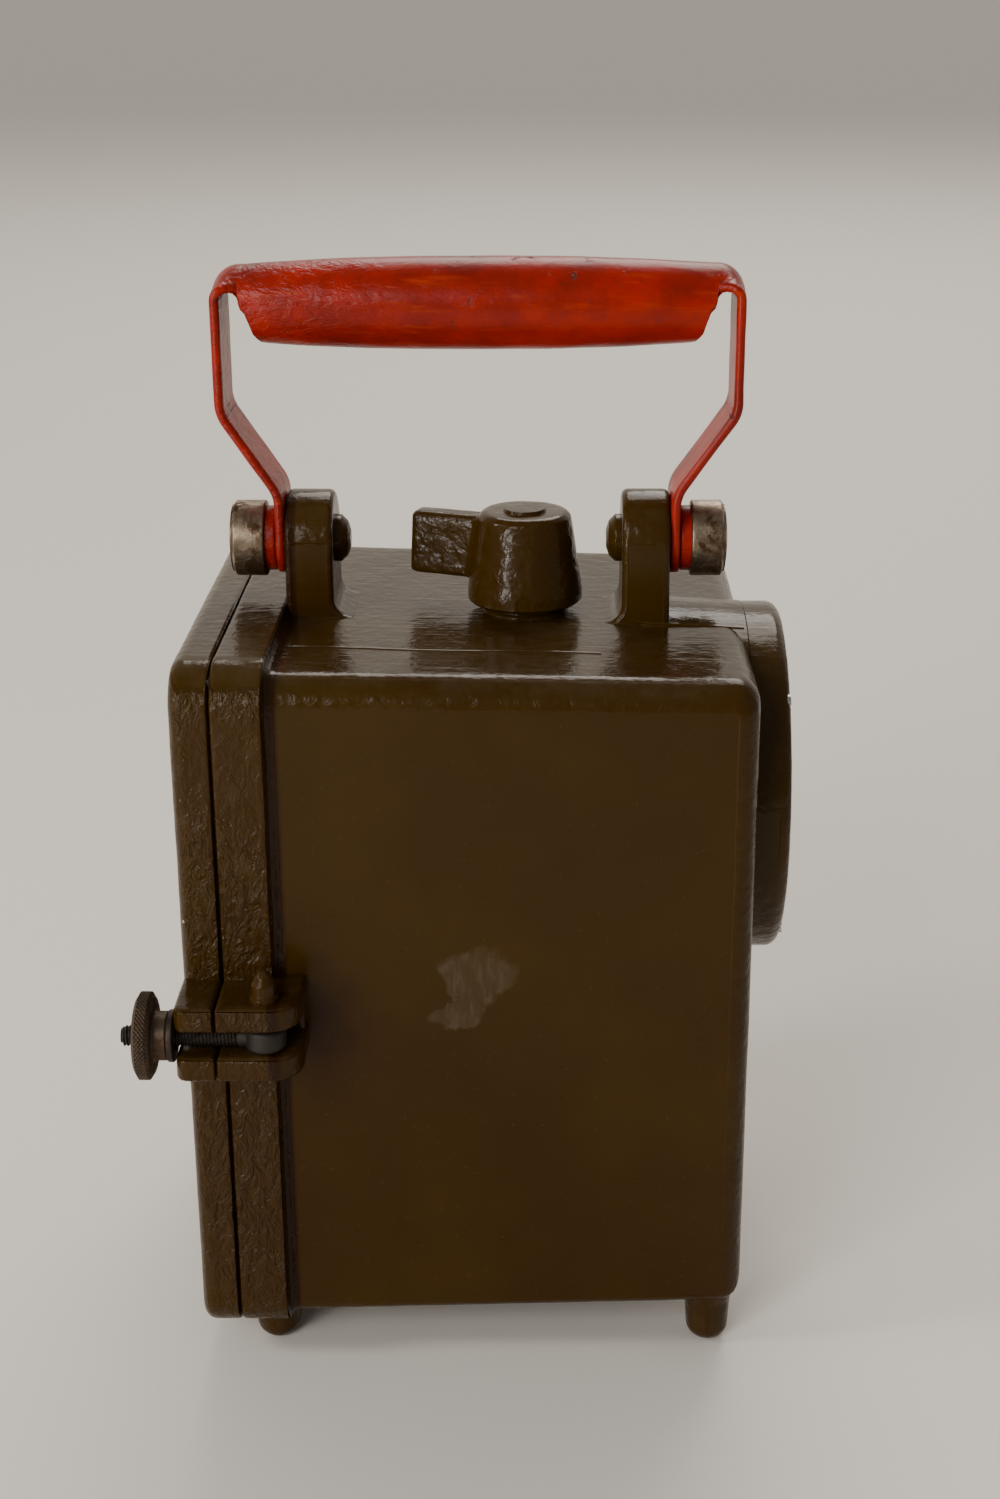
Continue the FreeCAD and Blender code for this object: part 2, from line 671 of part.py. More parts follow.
def bulb_holder():
    """A cup behind the reflector that the bulb's base sits in."""
    body = new_body("bulb_holder")
    start = f"({bulb_tip} - 1.5)"
    rod(body, "Cup", start, 0, lens_rise, "holder_radius", f"{reflector_back} - 0.6 - {start}", along_x)
    rod(body, "Bore", bulb_tip, 0, lens_rise, "bulb_base_radius", "holder_length + 9", along_x, cut=True)
    return body


# ---------------------------------------------------------------- handle and its pivots
handle_x = "(-lug_shift)"
handle_at = -size["lug_shift"]
pivot_at = top_at + size["pivot_rise"]


def pivot_screw(name, sign):
    """A shouldered screw: cylindrical head outside, shank through bush, strap and lug."""
    body = new_body(f"pivot_screw_{name}")
    lug_face = f"{handle_x} + {sign} * lug_span / 2"
    reach = "(side_play + sheet + bush_length + side_play)"
    turned_along_x(body, "Screw", [
        (f"-{sign} * lug_thick", "0"), (f"-{sign} * lug_thick", "pivot_radius"),
        (f"{sign} * {reach}", "pivot_radius"), (f"{sign} * {reach}", "head_radius"),
        (f"{sign} * ({reach} + head_length - head_edge)", "head_radius"),
        (f"{sign} * ({reach} + head_length)", "head_radius - head_edge"),
        (f"{sign} * ({reach} + head_length)", "0")], lug_face, 0, pivot_rise)
    return body


def pivot_nut(name, sign):
    """The domed nut on the inner side of the lug."""
    body = new_body(f"pivot_nut_{name}")
    face = f"{handle_x} + {sign} * (lug_span / 2 - lug_thick)"
    turned_along_x(body, "Nut", [
        ("0", "0"), ("0", "nut_radius"), (f"-{sign} * nut_length * 0.45", "nut_radius"),
        (f"-{sign} * nut_length * 0.85", "nut_radius * 0.72"), (f"-{sign} * nut_length", "nut_radius * 0.4"),
        (f"-{sign} * nut_length", "0")], face, 0, pivot_rise)
    return body


def handle_bush(name, sign):
    body = new_body(f"handle_bush_{name}")
    start = f"{handle_x} + {sign} * (lug_span / 2 + side_play + sheet)"
    ring(body, "Bush", start, 0, pivot_rise, "bush_radius", "pivot_radius + turn_play", "bush_length",
         along_x if sign > 0 else along_back)
    return body


def strip_face(points, radii, thickness):
    """The side view of a bent strip: legs between the points, a round bend at each inner point."""
    half = thickness / 2
    near, far = [], []
    ends = []
    for i in range(1, len(points) - 1):
        before, at, after = points[i - 1], points[i], points[i + 1]
        into, out = (at - before).normalize(), (after - at).normalize()
        turn = into.getAngle(out)
        setback = radii[i - 1] * math.tan(turn / 2)
        sign = 1 if into.cross(out).y > 0 else -1
        inward = Vector(into.z, 0, -into.x) * sign
        center = at - into * setback + inward * radii[i - 1]
        ends.append((at - into * setback, at + out * setback, center))
    for side_sign, chain in ((1, near), (-1, far)):
        def shifted(point, way):
            return point + Vector(way.z, 0, -way.x) * half * side_sign
        way = (points[1] - points[0]).normalize()
        last = shifted(points[0], way)
        for i, (start, end, center) in enumerate(ends):
            out = (points[i + 2] - points[i + 1]).normalize()
            a, b = shifted(start, way), shifted(end, out)
            middle = (a + b) / 2 - center
            middle = center + middle.normalize() * (a - center).Length
            chain.append(Part.LineSegment(last, a).toShape())
            chain.append(Part.Arc(a, middle, b).toShape())
            last, way = b, out
        chain.append(Part.LineSegment(last, shifted(points[-1], way)).toShape())
    caps = [Part.LineSegment(near[0].Vertexes[0].Point, far[0].Vertexes[0].Point).toShape(),
            Part.LineSegment(near[-1].Vertexes[-1].Point, far[-1].Vertexes[-1].Point).toShape()]
    return Part.Face(Part.Wire(Part.__sortEdges__(near + far + caps)))


def carrying_handle():
    """One sheet-metal pressing: a rolled barrel grip whose ends run out into cranked flat straps."""
    sheet_thick, width = size["sheet"], size["strap_width"]
    low_x = size["lug_span"] / 2 + size["side_play"] + sheet_thick / 2
    high_x = low_x + size["crank_out"]
    crown = top_at + size["grip_top"]
    axis_z = crown - size["grip_radius"]
    half = size["grip_length"] / 2
    slant = size["grip_slant"]
    end_radius = size["grip_radius"] - size["grip_swell"]
    tongue_z = axis_z + end_radius - sheet_thick / 2
    path = [Vector(low_x, 0, pivot_at), Vector(low_x, 0, pivot_at + size["crank_low"]),
            Vector(high_x, 0, pivot_at + size["crank_high"]), Vector(high_x, 0, tongue_z),
            Vector(half, 0, tongue_z)]
    bends = [size["crank_radius"], size["crank_radius"], size["shoulder_radius"]]
    strap = strip_face(path, bends, sheet_thick).extrude(Vector(0, width, 0))
    strap.translate(Vector(0, -width / 2, 0))
    eye_start = Vector(low_x - sheet_thick / 2, 0, pivot_at)
    strap = strap.fuse(Part.makeCylinder(width / 2, sheet_thick, eye_start, x_axis))
    hole = Part.makeCylinder(size["pivot_radius"] + size["turn_play"], 3 * sheet_thick,
                             eye_start - x_axis * sheet_thick, x_axis)
    strap = strap.cut(hole)

    def barrel(radius_drop):
        reach = half + slant
        mid, end = size["grip_radius"] - radius_drop, end_radius - radius_drop
        bow = Part.Arc(Vector(-reach, 0, end), Vector(0, 0, mid), Vector(reach, 0, end)).toShape()
        loop = Part.makePolygon([Vector(reach, 0, end), Vector(reach, 0, 0), Vector(-reach, 0, 0),
                                 Vector(-reach, 0, end)])
        return Part.Face(Part.Wire([bow, *loop.Edges])).revolve(Vector(), x_axis, 360)

    grip = Part.makeSolid(barrel(0)).cut(Part.makeSolid(barrel(size["grip_sheet"])))
    tall = size["grip_radius"] + 1
    slot = Part.makeBox(2 * half + 40, size["grip_slot"], tall, Vector(-half - 20, -size["grip_slot"] / 2, -tall))
    grip = grip.cut(slot)
    for sign in (-1, 1):
        corners = [Vector(sign * half, -20, -tall), Vector(sign * (half + slant + 20), -20, -tall),
                   Vector(sign * (half + slant + 20), -20, tall), Vector(sign * (half + slant), -20, tall),
                   Vector(sign * half, -20, -tall)]
        grip = grip.cut(Part.Face(Part.makePolygon(corners)).extrude(Vector(0, 40, 0)))
    grip.translate(Vector(0, 0, axis_z))
    whole = grip.fuse([strap, strap.mirror(Vector(), x_axis)]).removeSplitter()
    item = doc.addObject("Part::Feature", "carrying_handle")
    item.Label = "carrying_handle"
    item.Shape = whole
    place(item, handle_x, 0, 0)
    return item


# ---------------------------------------------------------------- switch
boss_top = f"({top} - case_draft / 2 + boss_rise)"
knob_low = f"({top} - case_draft / 2 + boss_rise + knob_play)"


def switch_knob():
    body = new_body("switch_knob")
    turned_upright(body, "Cone", [
        ("0", "0"), ("knob_base_radius", "0"), ("knob_base_radius", "1.5"),
        ("knob_top_radius", "knob_height"), ("0", "knob_height")], "switch_along", 0, knob_low)
    high_at = top_at - size["case_draft"] / 2 + size["boss_rise"] + size["knob_play"] + size["knob_height"]
    dress(body, "Fillet", "KnobRound", lambda e: spans(e, z=(high_at, high_at)), Radius="knob_round")
    lever = body.newObject("PartDesign::AdditiveWedge", "Lever")
    turn = Rotation(z_axis, size["lever_angle"]) * Rotation(x_axis, 90)
    bind(lever, Ymin=0, Ymax="lever_height", Xmin=0, Xmax="lever_length", Zmin="-lever_width / 2 - lever_draft",
         Zmax="lever_width / 2 + lever_draft", X2min=0, X2max="lever_length - lever_draft",
         Z2min="-lever_width / 2", Z2max="lever_width / 2")
    place(lever, "switch_along", 0, f"{knob_low} + knob_height - knob_round - lever_height", turn)
    rod(body, "Button", "switch_along", 0, f"{knob_low} + knob_height - 0.5", "button_radius",
        "button_rise + 0.5")
    rod(body, "Bore", "switch_along", 0, f"{knob_low} - 1", "spindle_radius", "knob_height - 5", cut=True)
    return body


spindle_top = f"({knob_low} - 1 + knob_height - 5)"
rotor_low = f"({board_top} - board_thick - 1 - rotor_thick)"


def switch_spindle():
    body = new_body("switch_spindle")
    rod(body, "Spindle", "switch_along", 0, f"{rotor_low} - 2", "spindle_radius", f"{spindle_top} - {rotor_low} + 2")
    return body


def switch_rotor():
    """An insulating disc on the spindle with a contact arm below the board."""
    body = new_body("switch_rotor")
    ring(body, "Disc", "switch_along", 0, rotor_low, "rotor_radius", "spindle_radius", "rotor_thick")
    block(body, "Arm", "switch_along + rotor_radius - 1", "-strip_width / 2", rotor_low, "rotor_arm + 1",
          "strip_width", "rotor_thick")
    return body


def switch_bush():
    """The bearing bush pressed through the boss and the top wall."""
    body = new_body("switch_bush")
    low = f"({top} - case_wall - case_draft - 2)"
    ring(body, "Bush", "switch_along", 0, low, "bush_wall + spindle_radius", "spindle_radius + turn_play",
         f"{boss_top} - {low}")
    return body


def contact_board():
    body = new_body("contact_board")
    block(body, "Board", "switch_along - board_length / 2", "-board_width / 2", f"{board_top} - board_thick",
          "board_length", "board_width", "board_thick")
    rod(body, "Hole", "switch_along", 0, f"{board_top} - board_thick - 1", "spindle_radius + 0.5",
        "board_thick + 2", cut=True)
    return body


# ---------------------------------------------------------------- latch
def latch_pin():
    """A vertical pin through both case ears, with a bullet head on a collar."""
    body = new_body("latch_pin")
    low = f"({latch_rise} - ear_stack / 2)"
    high = f"({latch_rise} + ear_stack / 2)"
    turned_upright(body, "Pin", [
        ("0", "0"), ("pin_radius", "0"), ("pin_radius", "ear_stack + 1.5"),
        ("pin_radius + 0.5", "ear_stack + 1.5"), ("pin_radius + 0.5", "ear_stack + 5"),
        ("pin_radius - 0.5", "ear_stack + 8"), ("1", "ear_stack + 9.2"), ("0", "ear_stack + 9.5")],
        pin_x, pin_y, f"{low} - 1.5")
    return body


bolt_reach = ("(pin_along + seam_gap + cover_thick + washer_gap + washer_thick + thumb_hub_length"
              " + thumb_thick + bolt_proud)")


def swing_bolt():
    """An eye on the latch pin and a threaded shank out past the cover's ears."""
    body = new_body("swing_bolt")
    rod(body, "Eye", pin_x, pin_y, f"{latch_rise} - eye_thick / 2", "eye_radius", "eye_thick")
    turned_along_x(body, "Shank", [
        ("0", "0"), ("0", "bolt_radius"), (f"bolt_tip - {bolt_reach}", "bolt_radius"),
        (f"-{bolt_reach}", "bolt_radius - bolt_tip"), (f"-{bolt_reach}", "0")], pin_x, pin_y, latch_rise)
    rod(body, "Hole", pin_x, pin_y, f"{latch_rise} - eye_thick", "pin_radius + turn_play", "2 * eye_thick",
        cut=True)
    return body


washer_end = f"({cover_back} - washer_gap)"


def latch_washer():
    body = new_body("latch_washer")
    ring(body, "Washer", washer_end, pin_y, latch_rise, "washer_radius", "bolt_radius + nut_bore_play",
         "washer_thick", along_back)
    return body


def thumb_nut():
    """A knurled thumb nut: a hub towards the washer and a thin wide head."""
    body = new_body("thumb_nut")
    turned_along_x(body, "Nut", [
        ("0", "bolt_radius + nut_bore_play"), ("0", "thumb_hub_radius"),
        ("-thumb_hub_length", "thumb_hub_radius"), ("-thumb_hub_length", "thumb_radius - thumb_edge"),
        ("-thumb_hub_length - thumb_edge", "thumb_radius"),
        ("-thumb_hub_length - thumb_thick + thumb_edge", "thumb_radius"),
        ("-thumb_hub_length - thumb_thick", "thumb_radius - thumb_edge"),
        ("-thumb_hub_length - thumb_thick", "bolt_radius + nut_bore_play")],
        f"{washer_end} - washer_thick - 0.02", pin_y, latch_rise)
    return body


# ---------------------------------------------------------------- battery and contacts
battery_top = f"({battery_floor} + battery_height)"


def battery():
    body = new_body("battery_case")
    block(body, "Tank", battery_back, "-battery_width / 2", battery_floor, "battery_length", "battery_width",
          "battery_height - battery_lid")
    dress(body, "Fillet", "TankEdges", lambda e: runs(e, z_axis), Radius="edge_radius / 2")
    lid = new_body("battery_lid")
    block(lid, "Lid", battery_back, "-battery_width / 2", f"{battery_top} - battery_lid", "battery_length",
          "battery_width", "battery_lid")
    dress(lid, "Fillet", "LidEdges", lambda e: runs(e, z_axis), Radius="edge_radius / 2")
    made = [body, lid]
    for name, sign in (("near", -1), ("far", 1)):
        cap = new_body(f"filler_cap_{name}")
        x, y = f"{battery_back} + battery_length * 0.3", f"{sign} * battery_width / 4"
        rod(cap, "Cap", x, y, battery_top, "cap_radius", "cap_height")
        stud = new_body(f"battery_stud_{name}")
        x, y = f"{battery_back} + battery_length * 0.75", f"{sign} * stud_spread"
        rod(stud, "Collar", x, y, battery_top, "2 * stud_radius", 2)
        rod(stud, "Stud", x, y, battery_top, "stud_radius", "stud_height")
        strip = new_body(f"contact_strip_{name}")
        foot = f"({battery_top} + 2)"
        rise = f"({board_top} - board_thick - {foot})"
        block(strip, "Foot", f"{x} - strip_width", f"{y} - strip_width / 2", foot, "2 * strip_width",
              "strip_width", "strip_thick")
        block(strip, "Rise", f"{x} - strip_width", f"{y} - strip_width / 2", foot, "strip_thick",
              "strip_width", rise)
        block(strip, "Top", f"{x} - strip_width", f"{y} - strip_width / 2",
              f"{foot} + {rise} - strip_thick", "strip_width", "strip_width", "strip_thick")
        rod(strip, "Hole", x, y, f"{foot} - 1", "stud_radius", 4, cut=True)
        made += [cap, stud, strip]
    return made


def bulb_strip():
    """The spring strip from the contact board down to the bulb holder's back."""
    body = new_body("bulb_strip")
    x = f"({bulb_tip} - 1.5 - strip_thick)"
    low = f"({lens_rise} - holder_radius)"
    clear = "(rotor_radius + rotor_arm + 2)"
    block(body, "Foot", x, "-strip_width / 2", low, "strip_thick", f"{clear} + 1.5 * strip_width",
          "2 * holder_radius")
    block(body, "Rise", x, clear, low, "strip_thick", "strip_width", f"{board_top} - board_thick - {low}")
    return body


casting = case_casting()
pieces = [casting, cover_casting(), cover_seal(), pressure_plate(), lens_gasket(), lens_glass(),
          bezel_ring(), reflector(), bulb_glass(), bulb_base(), bulb_holder(), carrying_handle(), switch_knob(),
          switch_spindle(), switch_rotor(), switch_bush(), contact_board(), latch_pin(), swing_bolt(),
          latch_washer(), thumb_nut(), bulb_strip(), *battery()]
pieces += [pressure_spring(i) for i in range(2)]
pieces += [bezel_screw(i) for i in range(4)]
pieces += [foot(casting, end, across) for end in (-1, 1) for across in (-1, 1)]
for name, sign in (("low", -1), ("high", 1)):
    pieces += [hinge_pin(name, sign), hinge_leaf(name, sign, True), hinge_leaf(name, sign, False)]
for name, sign in (("left", -1), ("right", 1)):
    pieces += [pivot_screw(name, sign), pivot_nut(name, sign), handle_bush(name, sign)]

doc.recompute()
for item in doc.Objects:
    assert "Invalid" not in item.State and "Error" not in item.State, (item.Name, item.State)
for item in pieces:
    shape = item.Shape
    assert not shape.isNull() and shape.isValid() and len(shape.Solids) == 1, (item.Label, len(shape.Solids))
for item in pieces:
    item.Shape.exportStep(f"parts/{item.Label}.step")
    box = item.Shape.BoundBox
    print(f"{item.Label:22s} {item.Shape.Volume:10.0f}", [round(v, 1) for v in (
        box.XMin, box.XMax, box.YMin, box.YMax, box.ZMin, box.ZMax)])
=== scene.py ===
import json
import math

import bmesh
import bpy
import numpy as np
from mathutils import Matrix, Vector


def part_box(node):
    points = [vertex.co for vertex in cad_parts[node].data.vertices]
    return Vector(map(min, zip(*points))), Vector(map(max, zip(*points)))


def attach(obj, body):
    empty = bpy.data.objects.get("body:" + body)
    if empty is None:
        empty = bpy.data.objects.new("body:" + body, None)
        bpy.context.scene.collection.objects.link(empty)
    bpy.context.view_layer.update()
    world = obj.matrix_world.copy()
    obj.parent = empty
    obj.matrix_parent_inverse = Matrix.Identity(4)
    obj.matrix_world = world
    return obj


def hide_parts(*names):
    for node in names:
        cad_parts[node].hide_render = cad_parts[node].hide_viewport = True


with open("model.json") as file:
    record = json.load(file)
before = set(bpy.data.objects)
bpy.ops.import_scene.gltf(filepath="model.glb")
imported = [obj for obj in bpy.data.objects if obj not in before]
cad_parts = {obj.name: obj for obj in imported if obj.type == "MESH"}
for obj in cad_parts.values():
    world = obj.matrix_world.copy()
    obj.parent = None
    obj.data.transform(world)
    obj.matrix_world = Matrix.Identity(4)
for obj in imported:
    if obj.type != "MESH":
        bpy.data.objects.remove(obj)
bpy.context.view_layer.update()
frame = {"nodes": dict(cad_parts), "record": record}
print("frame loaded:", len(frame["nodes"]), "nodes")

# Shapes are worked out in millimetres in the frame's own axes and put into meshes in metres.
metre = 0.001
quarter = math.pi / 2
fullTurn = 2 * math.pi


def corners(node):
    low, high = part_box(node)
    return np.array(low) / metre, np.array(high) / metre


def middle(node):
    low, high = corners(node)
    return (low + high) / 2


def unevenness(points, seed, sizes=(7, 15, 34)):
    # a smooth random height in -1..1: the mean of sine waves along random directions, three per wavelength
    rng = np.random.default_rng(seed)
    total = np.zeros(len(points))
    for size in sizes:
        ways = rng.normal(size=(3, 3))
        ways *= fullTurn / size / np.linalg.norm(ways, axis=1, keepdims=True)
        total += np.sin(points @ ways.T + rng.uniform(0, fullTurn, 3)).sum(axis=1)
    return total / (3 * len(sizes))


def addPiece(name, grids, body, slot, replaces=(), material=None, wobble=0, seed=1, sharp=38):
    # welds grids of points (rows x columns x 3) into one mesh, turns its faces outwards and puts it on a
    # body; the material is the slot's own finish unless another is given
    points, faces, start = [], [], 0
    for grid in grids:
        rows, columns = grid.shape[:2]
        corner = np.arange(rows - 1)[:, None] * columns + np.arange(columns - 1)[None] + start
        around = [corner, corner + 1, corner + columns + 1, corner + columns]
        faces.append(np.stack(around, -1).reshape(-1, 4))
        points.append(grid.reshape(-1, 3))
        start += rows * columns
    mesh = bpy.data.meshes.new(name)
    mesh.from_pydata((np.concatenate(points) * metre).tolist(), [], np.concatenate(faces).tolist())
    work = bmesh.new()
    work.from_mesh(mesh)
    bmesh.ops.remove_doubles(work, verts=work.verts, dist=2e-6)
    bmesh.ops.dissolve_degenerate(work, edges=work.edges, dist=1e-7)
    bmesh.ops.recalc_face_normals(work, faces=work.faces)
    work.to_mesh(mesh)
    work.free()
    count = len(mesh.vertices)
    if wobble:
        place, normal = np.zeros(count * 3), np.zeros(count * 3)
        mesh.vertices.foreach_get("co", place)
        mesh.vertex_normals.foreach_get("vector", normal)
        place, normal = place.reshape(-1, 3), normal.reshape(-1, 3)
        place += normal * unevenness(place / metre, seed)[:, None] * wobble * metre
        mesh.vertices.foreach_set("co", place.ravel())
    mesh.polygons.foreach_set("use_smooth", np.ones(len(mesh.polygons), bool))
    mesh.set_sharp_from_angle(angle=math.radians(sharp))
    mesh.update()
    piece = bpy.data.objects.new(name, mesh)
    bpy.context.scene.collection.objects.link(piece)
    mesh.materials.append(material or finish[slot])
    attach(piece, body)
    if replaces:
        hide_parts(*([replaces] if isinstance(replaces, str) else replaces))
    return piece


def roundedLine(points, radii, steps=6, closed=False):
    # a polygon line whose corners become arcs: each arc's centre lies on the corner's bisector, at the radius
    # divided by the sine of half the corner's angle
    points = np.array(points, float)
    count = len(points)
    parts = []
    for i, radius in enumerate(radii):
        if radius == 0 or (not closed and i in (0, count - 1)):
            parts.append(points[i][None])
            continue
        back, ahead = points[i - 1] - points[i], points[(i + 1) % count] - points[i]
        back, ahead = back / np.linalg.norm(back), ahead / np.linalg.norm(ahead)
        half = math.acos(np.clip(back @ ahead, -1, 1)) / 2
        centre = points[i] + (back + ahead) / np.linalg.norm(back + ahead) * radius / math.sin(half)
        first = points[i] + back * radius / math.tan(half) - centre
        last = points[i] + ahead * radius / math.tan(half) - centre
        turn = math.pi - 2 * half
        share = np.linspace(0, 1, steps + 1)[:, None]
        swung = np.sin((1 - share) * turn) * first + np.sin(share * turn) * last
        parts.append(centre + swung / math.sin(turn))
    line = np.concatenate(parts)
    return np.concatenate([line, line[:1]]) if closed else line


def filled(line, step):
    # the same line with points added so that none are further apart than the step
    gone = np.concatenate([[0], np.cumsum(np.linalg.norm(np.diff(line, axis=0), axis=1))])
    keep = np.concatenate([[True], np.diff(gone) > 1e-9])
    line, gone = line[keep], gone[keep]
    extra = np.linspace(0, gone[-1], max(2, int(gone[-1] / step) + 1))
    lengths = np.unique(np.round(np.concatenate([gone, extra]), 6))
    return np.stack([np.interp(lengths, gone, line[:, i]) for i in range(line.shape[1])], 1)


def turned(profile, origin, axis="x", steps=64, ripple=None):
    # a surface of revolution: each (along, radius) of the profile goes round the axis through the origin
    angle = np.linspace(0, fullTurn, steps + 1)[None]
    along, radius = profile[:, 0][:, None], profile[:, 1][:, None] + 0 * angle
    if ripple is not None:
        radius = radius + ripple(along, angle)
    around, up = radius * np.cos(angle), radius * np.sin(angle)
    along = along + 0 * angle
    order = {"x": (along, around, up), "z": (around, up, along)}[axis]
    return np.stack([part + shift for part, shift in zip(order, origin)], -1)


def ringPoints(start, end, bore, radius):
    return [(start, bore), (start, radius), (end, radius), (end, bore), (start, bore)]


def spun(points, radii, step, origin, axis="x", steps=64):
    # the surface of revolution of an outline given by its corners and their radii
    return turned(filled(roundedLine(points, radii), step), origin, axis, steps)


def roundedLoop(halfWidth, low, high, radius, lowRadius, sideSteps=60, cornerSteps=10):
    # a rounded rectangle in Y and Z for each row: four quarter arcs, the lower two with their own radius,
    # joined by straight sides
    sizes = (halfWidth, low, high, radius, lowRadius)
    a, lo, hi, r, r2 = (np.asarray(size, float).reshape(-1, 1) for size in sizes)
    phi = np.linspace(0, quarter, cornerSteps + 1)[None]
    share = np.linspace(0, 1, sideSteps + 1)[None, 1:-1]
    centres = [(a - r, hi - r, r), (r - a, hi - r, r), (r2 - a, lo + r2, r2), (a - r2, lo + r2, r2)]
    arcs = [(cy + bend * np.cos(phi + i * quarter), cz + bend * np.sin(phi + i * quarter))
            for i, (cy, cz, bend) in enumerate(centres)]
    parts = []
    for i, (y, z) in enumerate(arcs):
        nextY, nextZ = arcs[(i + 1) % 4]
        parts.append(np.stack([y, z], -1))
        parts.append(np.stack([y[:, -1:] * (1 - share) + nextY[:, :1] * share,
                               z[:, -1:] * (1 - share) + nextZ[:, :1] * share], -1))
    loop = np.concatenate(parts, axis=1)
    return np.concatenate([loop, loop[:, :1]], axis=1)


def slab(outline, low, high, edge, order, step=1.2):
    # a plate: a closed outline carried across the thickness, drawn in by a quarter round at each face and
    # closed to its middle; order says which of X, Y and Z hold the outline's two numbers and the thickness
    line = filled(outline, step)
    ahead = np.roll(line[:-1], -1, 0) - line[:-1]
    ahead = np.concatenate([ahead, ahead[:1]])
    way = ahead / np.linalg.norm(ahead, axis=1, keepdims=True)
    way = way + np.roll(way[:-1], 1, 0)[np.r_[0:len(way) - 1, 0]]
    normal = np.stack([way[:, 1], -way[:, 0]], 1)
    normal /= np.linalg.norm(normal, axis=1, keepdims=True)
    centre = line[:-1].mean(0)
    outward = np.sign(((line[0] - centre) * normal[0]).sum()) or 1
    phi = np.linspace(0, quarter, 5)
    inset = np.concatenate([edge * (1 - np.sin(phi)), edge * (1 - np.cos(phi))])
    level = np.concatenate([low + edge * (1 - np.cos(phi)), high - edge * (1 - np.sin(phi))])
    rim = line[None] - outward * normal[None] * inset[:, None, None]
    share = np.linspace(0, 1, 5)[:-1, None, None]
    first, last = (centre + (rim[i] - centre) * share for i in (0, -1))
    flat = np.concatenate([first, rim, last[::-1]])
    level = np.concatenate([np.full(4, low), level, np.full(4, high)])[:, None] + 0 * flat[..., 0]
    grid = np.zeros(flat.shape[:2] + (3,))
    for value, axis in zip((flat[..., 0], flat[..., 1], level), order):
        grid[..., "xyz".index(axis)] = value
    return grid


def tube(path, radius, steps=12):
    # a round bar along a path: circles in the plane across the path's direction, the ends drawn to points
    ahead = np.gradient(path, axis=0)
    ahead /= np.linalg.norm(ahead, axis=1, keepdims=True)
    side = np.cross(ahead, [0.3, 0.2, 1])
    side /= np.linalg.norm(side, axis=1, keepdims=True)
    up = np.cross(ahead, side)
    angle = np.linspace(0, fullTurn, steps + 1)[None, :, None]
    body = path[:, None] + radius * (side[:, None] * np.cos(angle) + up[:, None] * np.sin(angle))
    ends = [np.broadcast_to(path[i], (1, steps + 1, 3)) for i in (0, -1)]
    return np.concatenate([ends[0], body, ends[1]])


# ---- materials

def node(tree, kind, values=None, **settings):
    made = tree.nodes.new("ShaderNode" + kind)
    for key, value in settings.items():
        setattr(made, key, value)
    for socket, value in (values or {}).items():
        if isinstance(value, bpy.types.NodeSocket):
            tree.links.new(value, made.inputs[socket])
        else:
            made.inputs[socket].default_value = value
    return made


def startMaterial(name, **constants):
    made = bpy.data.materials.new(name)
    made.use_nodes = True
    tree = made.node_tree
    tree.nodes.clear()
    shader = node(tree, "BsdfPrincipled", {key.replace("_", " "): value for key, value in constants.items()})
    node(tree, "OutputMaterial", {"Surface": shader.outputs["BSDF"]})
    place = node(tree, "TexCoord").outputs["Object"]
    return made, tree, shader, place


def stretched(tree, place, scale=(1, 1, 1), turn=(0, 0, 0)):
    return node(tree, "Mapping", {"Vector": place, "Scale": scale, "Rotation": turn}).outputs["Vector"]


def noise(tree, place, scale, detail=3, roughness=0.55, distortion=0):
    return node(tree, "TexNoise", {"Vector": place, "Scale": scale, "Detail": detail, "Roughness": roughness,
                                   "Distortion": distortion}).outputs["Fac"]


def between(tree, value, low, high, toLow=0, toHigh=1, smooth=True):
    made = node(tree, "MapRange", {"Value": value, "From Min": low, "From Max": high, "To Min": toLow,
                                   "To Max": toHigh}, interpolation_type="SMOOTHSTEP" if smooth else "LINEAR")
    return made.outputs["Result"]


def sums(tree, operation, first, second):
    made = node(tree, "Math", {0: first, 1: second}, operation=operation)
    return made.outputs[0]


def times(tree, first, *others):
    for other in others:
        first = sums(tree, "MULTIPLY", first, other)
    return first


def blended(tree, share, first, second):
    made = node(tree, "Mix", data_type="RGBA")
    for socket, value in (("Factor", share), ("A", first), ("B", second)):
        target = made.inputs["Factor"] if socket == "Factor" else \
            next(s for s in made.inputs if s.name == socket and s.type == "RGBA")
        if isinstance(value, bpy.types.NodeSocket):
            tree.links.new(value, target)
        else:
            target.default_value = value if socket == "Factor" else (*value, 1)
    return next(s for s in made.outputs if s.type == "RGBA")


def bumped(tree, height, distance, strength=1.0):
    made = node(tree, "Bump", {"Height": height, "Distance": distance, "Strength": strength})
    return made.outputs["Normal"]


def setSockets(tree, shader, **sockets):
    for key, value in sockets.items():
        tree.links.new(value, shader.inputs[key.replace("_", " ")])


olive = {
    "paint": (0.039, 0.0185, 0.0005), "deep": (0.033, 0.0140, 0.0005), "dustAndHighlight": (0.080, 0.060, 0.032),
    "paintedStepShade": (0.022, 0.0075, 0.0020), "worn": (0.085, 0.064, 0.040), "paintedEarShadow": (0.026, 0.0085, 0.0020),
    "speck": (0.42, 0.36, 0.26), "gloss": 0.16,
}


